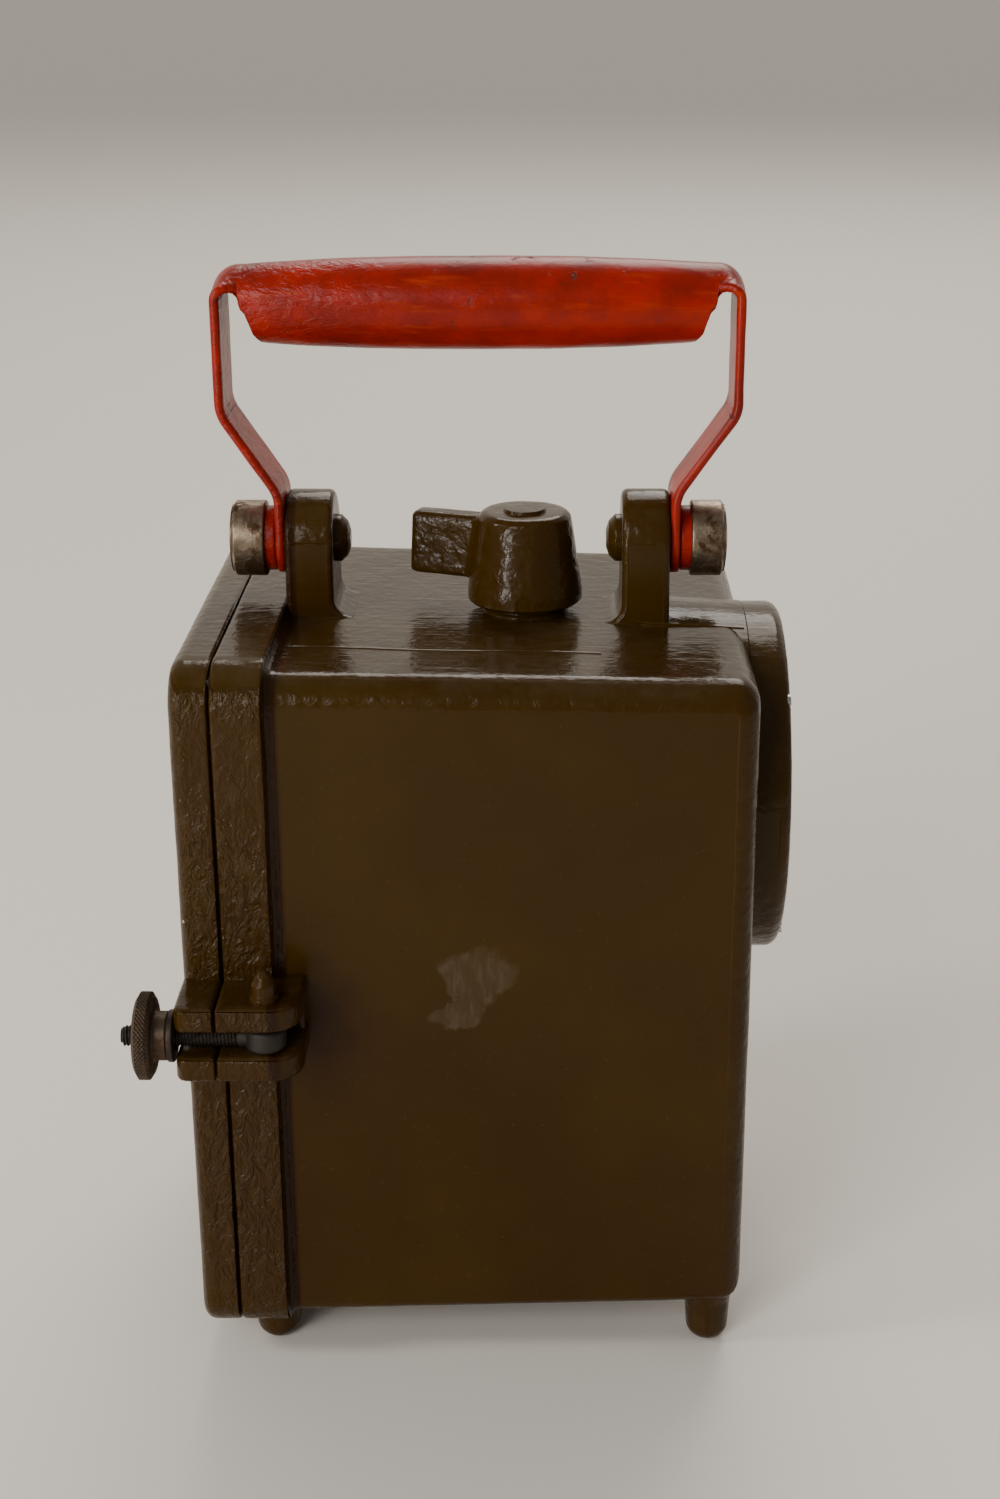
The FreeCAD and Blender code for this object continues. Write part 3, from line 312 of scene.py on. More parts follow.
def olivePaint(name="olivePaint", body="case"):
    # thick brushed gloss paint: faint blotches, a pebbled skin, strokes along the top, slanting feathered
    # strokes on the rims, dust and chips, with dust and painted highlight as lighter colour off the flat
    # sides;
    # the case also has painted shade in the dark band of its step, a worn patch and a painted shadow right of
    # the ears
    made, tree, shader, place = startMaterial(name, Specular_IOR_Level=olive["gloss"])
    split = node(tree, "SeparateXYZ", {"Vector": place})
    normal = node(tree, "SeparateXYZ", {"Vector": node(tree, "TexCoord").outputs["Normal"]})
    blotch = noise(tree, place, 22, 3, 0.55)
    fine = noise(tree, place, 420, 3, 0.6)
    colour = blended(tree, between(tree, blotch, 0.3, 0.7), olive["paint"], olive["deep"])
    topShare = between(tree, normal.outputs["Z"], 0.35, 0.85)
    nearShare = between(tree, normal.outputs["Y"], -0.6, -0.9)
    flatSide = between(tree, node(tree, "Math", {0: normal.outputs["Y"]}, operation="ABSOLUTE").outputs[0],
                       0.985, 0.998)
    rimShare = between(tree, split.outputs["X"], -0.0510, -0.0545) if body != "plain" else 0.0
    calm = times(tree, flatSide, sums(tree, "SUBTRACT", 1.0, rimShare))
    dust = times(tree, topShare, between(tree, noise(tree, place, 60, 5, 0.7), 0.35, 0.75, 0, 0.4))
    # lighter dusty colour off the flat sides: partly dust, partly painted highlight standing in for the light
    # lines along edges and rims
    edgeDustAndHighlight = times(tree, between(tree, calm, 0, 1, 1, 0),
                    between(tree, noise(tree, place, 160, 5, 0.7), 0.45, 0.75, 0, 0.14))
    colour = blended(tree, sums(tree, "MAXIMUM", dust, edgeDustAndHighlight), colour, olive["dustAndHighlight"])
    speckCells = node(tree, "TexVoronoi", {"Vector": place, "Scale": 95, "Randomness": 1}).outputs["Distance"]
    speckChance = between(tree, noise(tree, place, 37, 2), 0.63, 0.67)
    specks = times(tree, between(tree, speckCells, 0.03, 0.05, 1, 0), speckChance)
    colour = blended(tree, specks, colour, olive["speck"])
    # heights: pebbles off the flat sides, long strokes on level faces, slanting feathered strokes on the rims
    pebble = noise(tree, place, 330, 2, 0.5, 0.3)
    strokes = noise(tree, stretched(tree, place, (38, 420, 300), (0, 0, 0.12)), 1, 3, 0.55, 0.6)
    slanted = stretched(tree, place, (230, 230, 125), (0, 0.72, 0.2))
    feather = noise(tree, slanted, 1.5, 3, 0.6, 1.3)
    endOn = node(tree, "Math", {0: normal.outputs["X"]}, operation="ABSOLUTE").outputs[0]
    sideShare = times(tree, between(tree, topShare, 0.1, 0.6, 1, 0), between(tree, endOn, 0.5, 0.9, 1, 0.1))
    pebbled = times(tree, pebble, between(tree, calm, 0, 1, 0.75, 0.05),
                    between(tree, topShare, 0, 1, 1, 0.4))
    topStrokes = times(tree, strokes, topShare, 0.20)
    height = sums(tree, "ADD", pebbled, topStrokes)
    if body != "plain":
        patches = between(tree, noise(tree, place, 26, 2), 0.38, 0.60, 0.25, 1)
        height = sums(tree, "ADD", height, times(tree, feather, rimShare, patches, sideShare, 3.6))
    if body == "case":
        warp = node(tree, "TexNoise", {"Vector": place, "Scale": 130, "Detail": 3}).outputs["Color"]
        bent = node(tree, "VectorMath", {0: warp, 1: (0.5, 0.5, 0.5)}, operation="SUBTRACT").outputs[0]
        bent = node(tree, "VectorMath", {0: bent, "Scale": 0.011}, operation="SCALE").outputs[0]
        bent = node(tree, "VectorMath", {0: place, 1: bent}, operation="ADD").outputs[0]

        def spot(x, z, wide, tall, soft):
            scaled = stretched(tree, bent, (1 / wide, 0, 1 / tall))
            centre = (x / wide, 0, z / tall)
            away = node(tree, "VectorMath", {0: scaled, 1: centre}, operation="DISTANCE").outputs["Value"]
            return between(tree, away, 1 - soft, 1 + soft, 1, 0)

        # painted shade: the step between flange and wall is darkened in its colour, standing in for the shade
        # in that crevice
        stepShadeMask = times(tree, between(tree, split.outputs["X"], -0.0546, -0.0540),
                    between(tree, split.outputs["X"], -0.0522, -0.0506, 1, 0))
        colour = blended(tree, times(tree, stepShadeMask, 0.85), colour, olive["paintedStepShade"])
        patch = sums(tree, "MAXIMUM", spot(-0.0030, 0.1138, 0.0092, 0.0078, 0.16),
                     spot(-0.0080, 0.1035, 0.0078, 0.0042, 0.16))
        notch = spot(-0.0135, 0.1105, 0.0042, 0.0042, 0.15)
        patch = times(tree, sums(tree, "SUBTRACT", patch, notch), nearShare)
        patch = node(tree, "Clamp", {"Value": patch}).outputs[0]
        scratch = noise(tree, stretched(tree, place, (500, 500, 120), (0, -0.7, 0)), 1, 3, 0.6, 0.8)
        patchShare = times(tree, patch, between(tree, scratch, 0.35, 0.75, 0.22, 0.62))
        colour = blended(tree, patchShare, colour, olive["worn"])
        # painted shadow: a reddish-brown darkening on the near face just right of the ears, where their
        # shadow falls
        paintedEarShadow = times(tree, spot(-0.0400, 0.0980, 0.0110, 0.0170, 0.7), nearShare)
        colour = blended(tree, times(tree, paintedEarShadow, 0.6), colour, olive["paintedEarShadow"])
        height = sums(tree, "SUBTRACT", height, times(tree, patch, 0.2))
    roughness = between(tree, fine, 0.2, 0.8, 0.17, 0.30, smooth=False)
    roughness = sums(tree, "SUBTRACT", roughness, between(tree, topShare, 0, 1, 0, 0.06))
    setSockets(tree, shader, Base_Color=colour, Roughness=roughness, Normal=bumped(tree, height, 0.0005))
    return made


def redPaint():
    # brushed orange-red paint over steel: darker where it is thin, wrinkled at one end, browned at the edges
    made, tree, shader, place = startMaterial("redPaint", Specular_IOR_Level=0.22)
    blotch = noise(tree, place, 55, 5, 0.65)
    colour = blended(tree, between(tree, blotch, 0.3, 0.72), (0.33, 0.0085, 0.0012), (0.17, 0.0050, 0.0012))
    streak = noise(tree, stretched(tree, place, (35, 260, 260)), 1, 4, 0.6)
    colour = blended(tree, between(tree, streak, 0.56, 0.8, 0, 0.55), colour, (0.48, 0.050, 0.006))
    bare = times(tree, between(tree, noise(tree, place, 190, 6, 0.7), 0.6, 0.7),
                between(tree, noise(tree, place, 30, 3), 0.48, 0.62))
    edge = between(tree, node(tree, "NewGeometry").outputs["Pointiness"], 0.53, 0.60)
    rubbed = times(tree, edge, between(tree, blotch, 0.42, 0.6, 0.1, 0.8))
    bare = sums(tree, "MAXIMUM", bare, rubbed)
    colour = blended(tree, bare, colour, (0.050, 0.012, 0.008))
    split = node(tree, "SeparateXYZ", {"Vector": place})
    wrinkled = between(tree, split.outputs["X"], -0.062, -0.012, 1, 0.16)
    wrinkle = noise(tree, stretched(tree, place, (210, 260, 420)), 1, 3, 0.6, 1.4)
    height = times(tree, times(tree, wrinkle, wrinkled), 1.3)
    height = sums(tree, "ADD", height, times(tree, noise(tree, place, 500, 2), 0.12))
    height = sums(tree, "SUBTRACT", height, times(tree, bare, 0.3))
    setSockets(tree, shader, Base_Color=colour, Roughness=between(tree, bare, 0, 1, 0.3, 0.6),
               Normal=bumped(tree, height, 0.0004))
    return made


def steel(name, light, dark, rust, rustLevel, roughness, metallic=0.9):
    # worn steel: two greys, brown rust in blotches, fine pits
    made, tree, shader, place = startMaterial(name, Metallic=metallic)
    blotch = noise(tree, place, 160, 5, 0.65)
    colour = blended(tree, between(tree, blotch, 0.35, 0.7), light, dark)
    rusty = between(tree, noise(tree, place, 95, 6, 0.7, 0.4), rustLevel, rustLevel + 0.12)
    colour = blended(tree, rusty, colour, rust)
    pits = noise(tree, place, 900, 2, 0.6)
    height = sums(tree, "ADD", times(tree, pits, 0.4), times(tree, rusty, 0.3))
    setSockets(tree, shader, Base_Color=colour,
               Roughness=sums(tree, "ADD", between(tree, rusty, 0, 1, roughness, 0.75),
                              between(tree, pits, 0.3, 0.7, -0.05, 0.08)),
               Normal=bumped(tree, height, 0.00012))
    return made


def plain(name, colour, roughness, metallic=0.0, grain=300, variation=0.25, bump=0.00008, **more):
    # one finish with a faint blotch in its colour, a varying gloss and a fine grain
    made, tree, shader, place = startMaterial(name, Metallic=metallic, **more)
    darker = tuple(c * (1 - variation) for c in colour)
    blotch = noise(tree, place, grain / 4, 4, 0.6)
    setSockets(tree, shader, Base_Color=blended(tree, between(tree, blotch, 0.3, 0.7), colour, darker),
               Roughness=between(tree, blotch, 0.25, 0.75, roughness * 0.8, min(1, roughness * 1.25)),
               Normal=bumped(tree, noise(tree, place, grain, 3), bump))
    return made


def glass(name, tint, roughness):
    # clear glass with a trace of dust
    made, tree, shader, place = startMaterial(name, Transmission_Weight=1.0, IOR=1.5)
    haze = between(tree, noise(tree, place, 120, 5, 0.7), 0.5, 0.8)
    setSockets(tree, shader, Base_Color=blended(tree, haze, tint, tuple(c * 0.93 for c in tint)),
               Roughness=between(tree, haze, 0, 1, roughness, roughness + 0.12))
    return made


finish = {
    "olive_paint": olivePaint("oliveFittings", "plain"),
    "red_paint": redPaint(),
    "bare_steel": steel("bareSteel", (0.26, 0.205, 0.145), (0.11, 0.078, 0.05), (0.065, 0.033, 0.016),
                        0.50, 0.36),
    "rusty_steel": steel("rustySteel", (0.040, 0.028, 0.020), (0.018, 0.012, 0.009), (0.055, 0.024, 0.010),
                         0.52, 0.5, 0.55),
    "zinc_steel": steel("zincSteel", (0.52, 0.52, 0.5), (0.34, 0.34, 0.33), (0.16, 0.1, 0.06), 0.68, 0.32),
    "lens_glass": glass("lensGlass", (0.96, 0.985, 0.97), 0.02),
    "bulb_glass": glass("bulbGlass", (0.98, 0.98, 0.96), 0.01),
    "rubber": plain("rubber", (0.018, 0.018, 0.018), 0.7, grain=900, bump=0.0001),
    "reflector_chrome": plain("reflectorChrome", (0.88, 0.88, 0.87), 0.08, 1.0, 60, 0.08, 0.00002),
    "brass": plain("brass", (0.55, 0.36, 0.12), 0.32, 1.0, 250, 0.35),
    "phenolic": plain("phenolic", (0.055, 0.022, 0.012), 0.38, grain=500, variation=0.4),
    "battery_plastic": plain("batteryPlastic", (0.016, 0.016, 0.018), 0.42, grain=700, variation=0.2),
}
# the swing bolt's steel is near black: dark rusty steel darkened further as painted shade of the slot it lies
# in
shadedBoltSteel = steel("shadedBoltSteel", (0.018, 0.012, 0.008), (0.009, 0.006, 0.004), (0.020, 0.010, 0.005),
                  0.55, 0.55, 0.3)
nutSteel = steel("nutSteel", (0.085, 0.056, 0.034), (0.034, 0.022, 0.014), (0.080, 0.038, 0.017),
                 0.50, 0.46, 0.6)
caseOlive, coverOlive = olivePaint("oliveCase", "case"), olivePaint("oliveCover", "cover")
slotOf = {part["node"]: part["material_slot"] for part in frame["record"]["subparts"]}
for nodeName, cadNode in frame["nodes"].items():
    for materialSlot in cadNode.material_slots:
        materialSlot.material = finish[slotOf[nodeName]]
print("finishes made:", len(finish))

# ---- case casting: box shell, hump over the lens end, lugs, ears and feet
caseLow, caseHigh = corners("case_casting")
seam, front = caseLow[0], caseHigh[0]
flangeSide, flangeLow = caseHigh[1], caseLow[2]
screwLow = corners("pivot_screw_left")[0]
pivot = middle("pivot_screw_left")
lensMiddle = middle("lens_gasket")
lensAxis, pivotAxis = (0, 0, lensMiddle[2]), (0, 0, pivot[2])

case = {
    "proud": 3.2,            # how far the flange stands out of the wall
    "flange": 12.9,          # flange length from the seam
    "wall": 4.0,
    "frontWall": 5.0,
    "sink": 0.5,             # how much lower the castings' undersides lie than the plain shape's
    "draft": 2.8,            # taper of each side over the length
    "corner": 8.0,
    "lowCorner": 3.0,
    "flangeLowCorner": 8.6,
    "frontRound": 6.0,
    "rimRound": 0.9,
    "flangeRound": 0.9,
    "step": 2.5,
    "lensHole": 36.5,
    "hump": 49.5,
    "humpLength": 31.0,
    "humpTaper": 0.058,
    "humpEnd": 5.0,
    "humpArc": 24.0,         # degrees to each side of the top
    "drumBore": 42.0,
    "lugRadius": 13.0,
    "lugThick": 12.6,
    "flare": 5.0,
    "ridgeAcross": 13.2,
    "ridgeNear": 38.5,
    "wobble": 0.11,
}
lens = {"radius": 47.5, "depth": 10.2, "bore": 36.5, "round": 3.2, "seat": 40.7, "seatDeep": 4.7,
        "mouth": 38.3, "glassRadius": 40.4, "glassEdge": 3.2, "dome": 2.6, "clear": 36.0}
halfWidth = flangeSide - case["proud"]
wallHigh = corners("cover_casting")[1][2] - case["proud"]
wallLow = flangeLow + case["proud"] - case["sink"]


def wallRows(x, inset=0.0, inner=False):
    # outline sizes of the drafted wall at x, drawn in by the inset
    x, inset = np.broadcast_arrays(np.asarray(x, float), inset)
    drop = (x - seam) / (front - seam) * case["draft"] + inset + (case["wall"] if inner else 0)
    radius = np.maximum(case["corner"] - inset - (3 if inner else 0), 1.5)
    lowRadius = np.maximum(case["lowCorner"] - inset, 1)
    return np.stack([x, halfWidth - drop, wallLow + drop, wallHigh - drop, radius, lowRadius], -1)


def flangeRows(x, inset=0.0):
    # outline sizes of the straight flange at x, drawn in by the inset
    x, inset = np.broadcast_arrays(np.asarray(x, float), inset)
    reach = halfWidth + case["proud"] - inset
    return np.stack([x, reach, wallLow - case["proud"] + inset, wallHigh + case["proud"] - inset,
                     case["corner"] + case["proud"] - inset, case["flangeLowCorner"] - inset], -1)


def loopGrid(rows):
    # one rounded rectangle for each row of sizes, at the row's x
    loop = roundedLoop(*rows[:, 1:].T)
    return np.concatenate([np.broadcast_to(rows[:, :1, None], loop.shape[:2] + (1,)), loop], -1)


def towardCircle(loop, x, radius, shares):
    # rows that turn a rounded rectangle into the circle round the lens, each point along its own ray
    away = loop[..., 1:] - lensMiddle[1:]
    circle = lensMiddle[1:] + away / np.linalg.norm(away, axis=-1, keepdims=True) * radius
    share = np.asarray(shares)[:, None, None]
    flat = loop[None, :, 1:] * (1 - share) + circle[None] * share
    return np.concatenate([np.full(flat.shape[:2] + (1,), x), flat], -1)


def caseShell():
    # one skin: inner wall to the mouth, over the flange, its step, the wall, the front round and face,
    # through the lens hole and back along the inner wall
    phi = np.linspace(0, quarter, 7)
    rim, edge, step, nose = case["rimRound"], case["flangeRound"], case["step"], case["frontRound"]
    flangeEnd = seam + case["flange"]
    drop = case["flange"] / (front - seam) * case["draft"]
    concave = step * (1 - np.cos(phi))
    outside = np.concatenate([
        wallRows([seam], 0, True), flangeRows([seam] * 3, [6.2, 3.6, rim]),
        flangeRows(seam + rim * (1 - np.cos(phi)), rim * (1 - np.sin(phi))),
        flangeRows(np.linspace(seam + rim + 0.8, flangeEnd - edge - 0.8, 8)),
        flangeRows(flangeEnd - edge + edge * np.sin(phi), edge * (1 - np.cos(phi))),
        wallRows(flangeEnd + concave, -(step - step * np.sin(phi))),
        wallRows(np.linspace(flangeEnd + step + 1, front - nose - 1, 56)),
        wallRows(front - nose + nose * np.sin(phi), nose * (1 - np.cos(phi)))])
    outside[:, 0] = np.minimum(outside[:, 0], front)
    skin = loopGrid(outside)
    face = towardCircle(skin[-1], front, case["lensHole"], np.linspace(0.08, 1, 9))
    inside = loopGrid(wallRows(np.linspace(front - case["frontWall"], seam, 24), 0, True))
    back = towardCircle(inside[0], front - case["frontWall"], case["lensHole"], np.linspace(1, 0.1, 6))
    return np.concatenate([skin, face, back, inside])


def hump():
    # a strip of the lens drum that stands out of the top: an outer and an inner arc, its ends rounded down
    start, end, bend = front - case["humpLength"], front, case["humpEnd"]
    phi = np.linspace(0, quarter, 7)
    x = np.concatenate([start + bend * (1 - np.cos(phi)), np.linspace(start + bend + 2, end - bend - 2, 12),
                        end - bend + bend * np.sin(phi)])
    drop = np.concatenate([bend * (1 - np.sin(phi)), np.zeros(12), 0 * phi])
    angle = np.radians(np.linspace(-case["humpArc"], case["humpArc"], 61))
    outer = case["hump"] - case["humpTaper"] * (x - start)[:, None] - drop[:, None] + 0 * angle
    inner = outer - case["wall"]
    radius = np.concatenate([outer, inner[:, ::-1], outer[:, :1]], axis=1)
    angle = np.concatenate([angle, angle[::-1], angle[:1]])[None]
    grid = np.stack([x[:, None] + 0 * radius, lensMiddle[1] + radius * np.sin(angle),
                     lensMiddle[2] + radius * np.cos(angle)], -1)
    ends = [np.broadcast_to(grid[i].mean(0), (1,) + grid.shape[1:]) for i in (0, -1)]
    return np.concatenate([ends[0], grid, ends[1]])


lugSpan = {"left": (corners("pivot_nut_left")[0][0], -1), "right": (corners("pivot_nut_right")[1][0], 1)}


def drum():
    # the ring of the lens drum that fills the front round under the bezel: a profile turned about the lens
    # axis
    end = case["hump"] - case["humpTaper"] * case["humpLength"]
    start, bore = front - case["frontRound"] - 0.4, case["drumBore"]
    profile = [(start, bore), (start, end + 0.35), (front, end), (front, bore), (start, bore)]
    return turned(filled(np.array(profile), 1.5), lensAxis, "x", 160)


def ridges():
    # raised casting lines along the top: thin round bars sunk to a little over half their thickness
    x = np.linspace(seam + 1, pivot[0] + 84, 60)
    flange = x < seam + case["flange"] + 1
    z = np.where(flange, wallHigh + case["proud"], wallHigh - case["draft"] * (x - seam) / (front - seam))
    side = np.stack([x, -case["ridgeNear"] + 0.5 * np.sin(x / 9), z - 0.12], 1)
    x = np.linspace(lugSpan["right"][0] + 4, front + 9, 40)
    radius = case["hump"] - case["humpTaper"] * (x - front + case["humpLength"])
    z = lensMiddle[2] + np.sqrt(radius ** 2 - case["ridgeAcross"] ** 2)
    z = np.where(x < front - case["humpLength"], wallHigh - case["draft"] * (x - seam) / (front - seam), z)
    z = np.where(x > front, lensMiddle[2] + math.sqrt(lens["radius"] ** 2 - case["ridgeAcross"] ** 2), z)
    middle = np.stack([x, np.full(len(x), -case["ridgeAcross"]), z - 0.1], 1)
    return [tube(side[~flange], 0.42, 8), tube(middle[x < front - 0.5], 0.45, 8)]


def lug(inner, outer):
    # a rounded tongue: up one leg, round the pivot and down the other; across it a flat, a rounded edge, the
    # crown and back; the inner face runs out in a flare where it meets the top
    radius, buried = case["lugRadius"], 8.0
    top = wallHigh - case["draft"] * ((inner - seam) / (front - seam))
    legs = np.unique(np.round(np.concatenate([
        np.linspace(top - buried, top - 0.5, 4), np.linspace(top, top + case["flare"], 12),
        np.linspace(top + case["flare"], pivot[2], 9)]), 4))
    turn = np.linspace(0, math.pi, 33)[1:-1]
    heights = np.concatenate([legs, np.full(31, pivot[2]), legs[::-1]])
    cos = np.concatenate([np.full(len(legs), 1.0), np.cos(turn), np.full(len(legs), -1.0)])
    sin = np.concatenate([0 * legs, np.sin(turn), 0 * legs])
    edge = 1.7
    phi = np.linspace(0, quarter, 6)
    reach = np.concatenate([np.linspace(0, radius - edge, 6)[:-1], radius - edge + edge * np.sin(phi)])
    low, high = min(inner, outer), max(inner, outer)
    across = np.concatenate([np.full(5, low), low + edge * (1 - np.cos(phi))])
    reach = np.concatenate([reach, reach[::-1]])
    across = np.concatenate([across, (low + high - across)[::-1]])
    y = cos[:, None] * reach[None]
    z = heights[:, None] + sin[:, None] * reach[None]
    x = across[None] + 0 * y
    above = np.clip((z - top) / case["flare"], -1, 1)
    spread = case["flare"] * (1 - np.sqrt(np.clip(1 - (1 - np.maximum(above, 0)) ** 2, 0, 1)))
    side = np.clip((x - outer) / (inner - outer), 0, 1)
    x = x + np.sign(inner - outer) * spread * side ** 2 * (above < 1)
    grid = np.stack([x, y, z], -1)
    foot = np.array([(low + high) / 2, 0, top - buried])
    closing = np.broadcast_to(foot, (1,) + grid.shape[1:])
    return np.concatenate([closing, grid, closing])


ears = {"front": 86.0, "slot": 6.8, "stack": 20.2, "end": -46.25, "round": 8.5, "edge": 1.3,
        "coverCorner": 2.6, "web": 69.6}
latchRise = middle("swing_bolt")[2]


def earPair(outline):
    # two plates of one outline, over and under the slot that the swing bolt lies in
    half, slot = ears["stack"] / 2, ears["slot"] / 2
    return [slab(outline, latchRise + a, latchRise + b, ears["edge"], "xyz")
            for a, b in ((-half, -slot), (slot, half))]


def caseEars():
    inside = -halfWidth + 2
    outline = roundedLine([(seam, inside), (seam, -ears["front"]), (ears["end"], -ears["front"]),
                           (ears["end"], inside)], [0, 0.8, ears["round"], 0], 10, closed=True)
    webEnd, webFront = ears["end"] - 0.6, -ears["web"]
    web = roundedLine([(seam, inside), (seam, webFront), (webEnd, webFront), (webEnd, inside)],
                      [0, 0, 1.5, 0], closed=True)
    return earPair(outline) + [slab(web, latchRise - 6, latchRise + 6, 0.3, "xyz")]


boss = {"sunk": 1.4, "root": 11.6, "radius": 10.8, "height": 3.9, "buried": 5.0}


def switchBoss():
    low, high = -boss["buried"], boss["height"]
    points = [(low, 0), (low, boss["root"]), (0.4, boss["root"]), (1.0, boss["radius"]),
              (high, boss["radius"]), (high, 0)]
    place = (middle("switch_spindle")[0], 0, wallHigh - boss["sunk"])
    return spun(points, [0, 0, 0.3, 0.3, 0.3, 0], 1.5, place, "z")


caseGrids = [caseShell(), hump(), drum(), switchBoss(), *ridges(), *caseEars()]
for inner, way in lugSpan.values():
    caseGrids.append(lug(inner, inner + way * case["lugThick"]))
addPiece("caseShell", caseGrids, "case", "olive_paint", "case_casting", caseOlive, wobble=case["wobble"],
         seed=3)

foot = {"radius": 5.9, "round": 4.6, "flare": 1.3, "frontTall": 17.5, "rearTall": 12.0, "fromEnd": 8.3,
        "fromSide": 11.5}
footGrids, footNodes = [], [n for n in frame["nodes"] if n.startswith("foot_")]
for nodeName in sorted(footNodes):
    sideSign = 1 if "far" in nodeName else -1
    endSign = 1 if "front" in nodeName else -1
    centre = (endSign * (front - foot["fromEnd"]), sideSign * (halfWidth - foot["fromSide"]), 0)
    tall = foot["frontTall"] if endSign > 0 else foot["rearTall"]
    points = [(0, 0), (0, foot["radius"] - 0.5), (tall - 5, foot["radius"] + 0.3),
              (tall, foot["radius"] + foot["flare"]), (tall, 0)]
    profile = roundedLine(points, [0, foot["round"], 4, 0, 0], 10)
    footGrids.append(turned(filled(profile, 1.2), centre, "z", 40))
addPiece("caseFeet", footGrids, "case", "olive_paint", footNodes, wobble=0.18, seed=5)
print("case made")

# ---- rear cover
coverLow = corners("cover_casting")[0]
cover = {"thick": 10.0, "backRound": 3.2, "rimRound": 0.9, "lip": 2.4, "lipWall": 2.6, "lipGap": 4.6,
         "floor": 4.0, "wobble": 0.12}


def coverPan():
    # one skin: the back's middle out to its round, the side, the seam face, the lip and the hollow's floor
    back, face = coverLow[0], coverLow[0] + cover["thick"]
    phi = np.linspace(0, quarter, 7)
    r, rim = cover["backRound"], cover["rimRound"]
    lipOut = cover["lipGap"] + case["proud"]
    outside = np.concatenate([
        flangeRows(back + r * (1 - np.cos(phi)), r * (1 - np.sin(phi))),
        flangeRows(np.linspace(back + r + 0.6, face - rim - 0.6, 5)),
        flangeRows(face - rim + rim * np.sin(phi), rim * (1 - np.cos(phi))),
        flangeRows([face, face, face + cover["lip"] - 0.5, face + cover["lip"]],
                   [3.5, lipOut, lipOut, lipOut + 0.5]),
        flangeRows([face + cover["lip"], back + cover["floor"] + 1.5, back + cover["floor"]],
                   [lipOut + cover["lipWall"], lipOut + cover["lipWall"], lipOut + cover["lipWall"] + 1.5])])
    outside[:, 4:] = np.maximum(outside[:, 4:], 2)
    skin = loopGrid(outside)
    centre = np.array([0, (skin[0, :, 1].min() + skin[0, :, 1].max()) / 2,
                       (skin[0, :, 2].min() + skin[0, :, 2].max()) / 2])
    share = np.linspace(0, 0.96, 14)[:, None, None]
    first, last = skin[0][None], skin[-1][None]
    start = first * share + (1 - share) * (centre + [first[0, 0, 0], 0, 0])
    end = last * share + (1 - share) * (centre + [last[0, 0, 0], 0, 0])
    return np.concatenate([start, skin, end[::-1]])


def coverEars():
    inside = -halfWidth + 1
    back, face = coverLow[0], coverLow[0] + cover["thick"]
    outline = roundedLine([(face, inside), (back, inside), (back, -ears["front"]), (face, -ears["front"])],
                          [0, 0, ears["coverCorner"], 0.8], 8, closed=True)
    return earPair(outline)


addPiece("coverPan", [coverPan(), *coverEars()], "cover", "olive_paint", "cover_casting", coverOlive,
         wobble=cover["wobble"], seed=9)
print("cover made")

# ---- carrying handle
handleLow, handleHigh = corners("carrying_handle")
grip = {
    "sheet": 2.5, "strapIn": 12.8, "strapHalf": 9.0, "radius": 11.8, "swell": 1.9, "crankLow": 13.5,
    "crankHigh": 35.0,
    "crankRound": 9.5, "shoulder": 5.8, "wobble": 0.14, "narrower": 1.5, "shift": 0.5,
    # how far the sheet wraps round the barrel, in degrees, at distances from the handle's middle
    "scallopAt": (0, 53.5, 56.9, 58.4, 59.2, 60.0, 60.9, 62.4, 64.0),
    "scallopWrap": (172, 171, 158, 132, 108, 88, 71, 55, 48),
}
handleMiddle = (handleLow[0] + handleHigh[0]) / 2


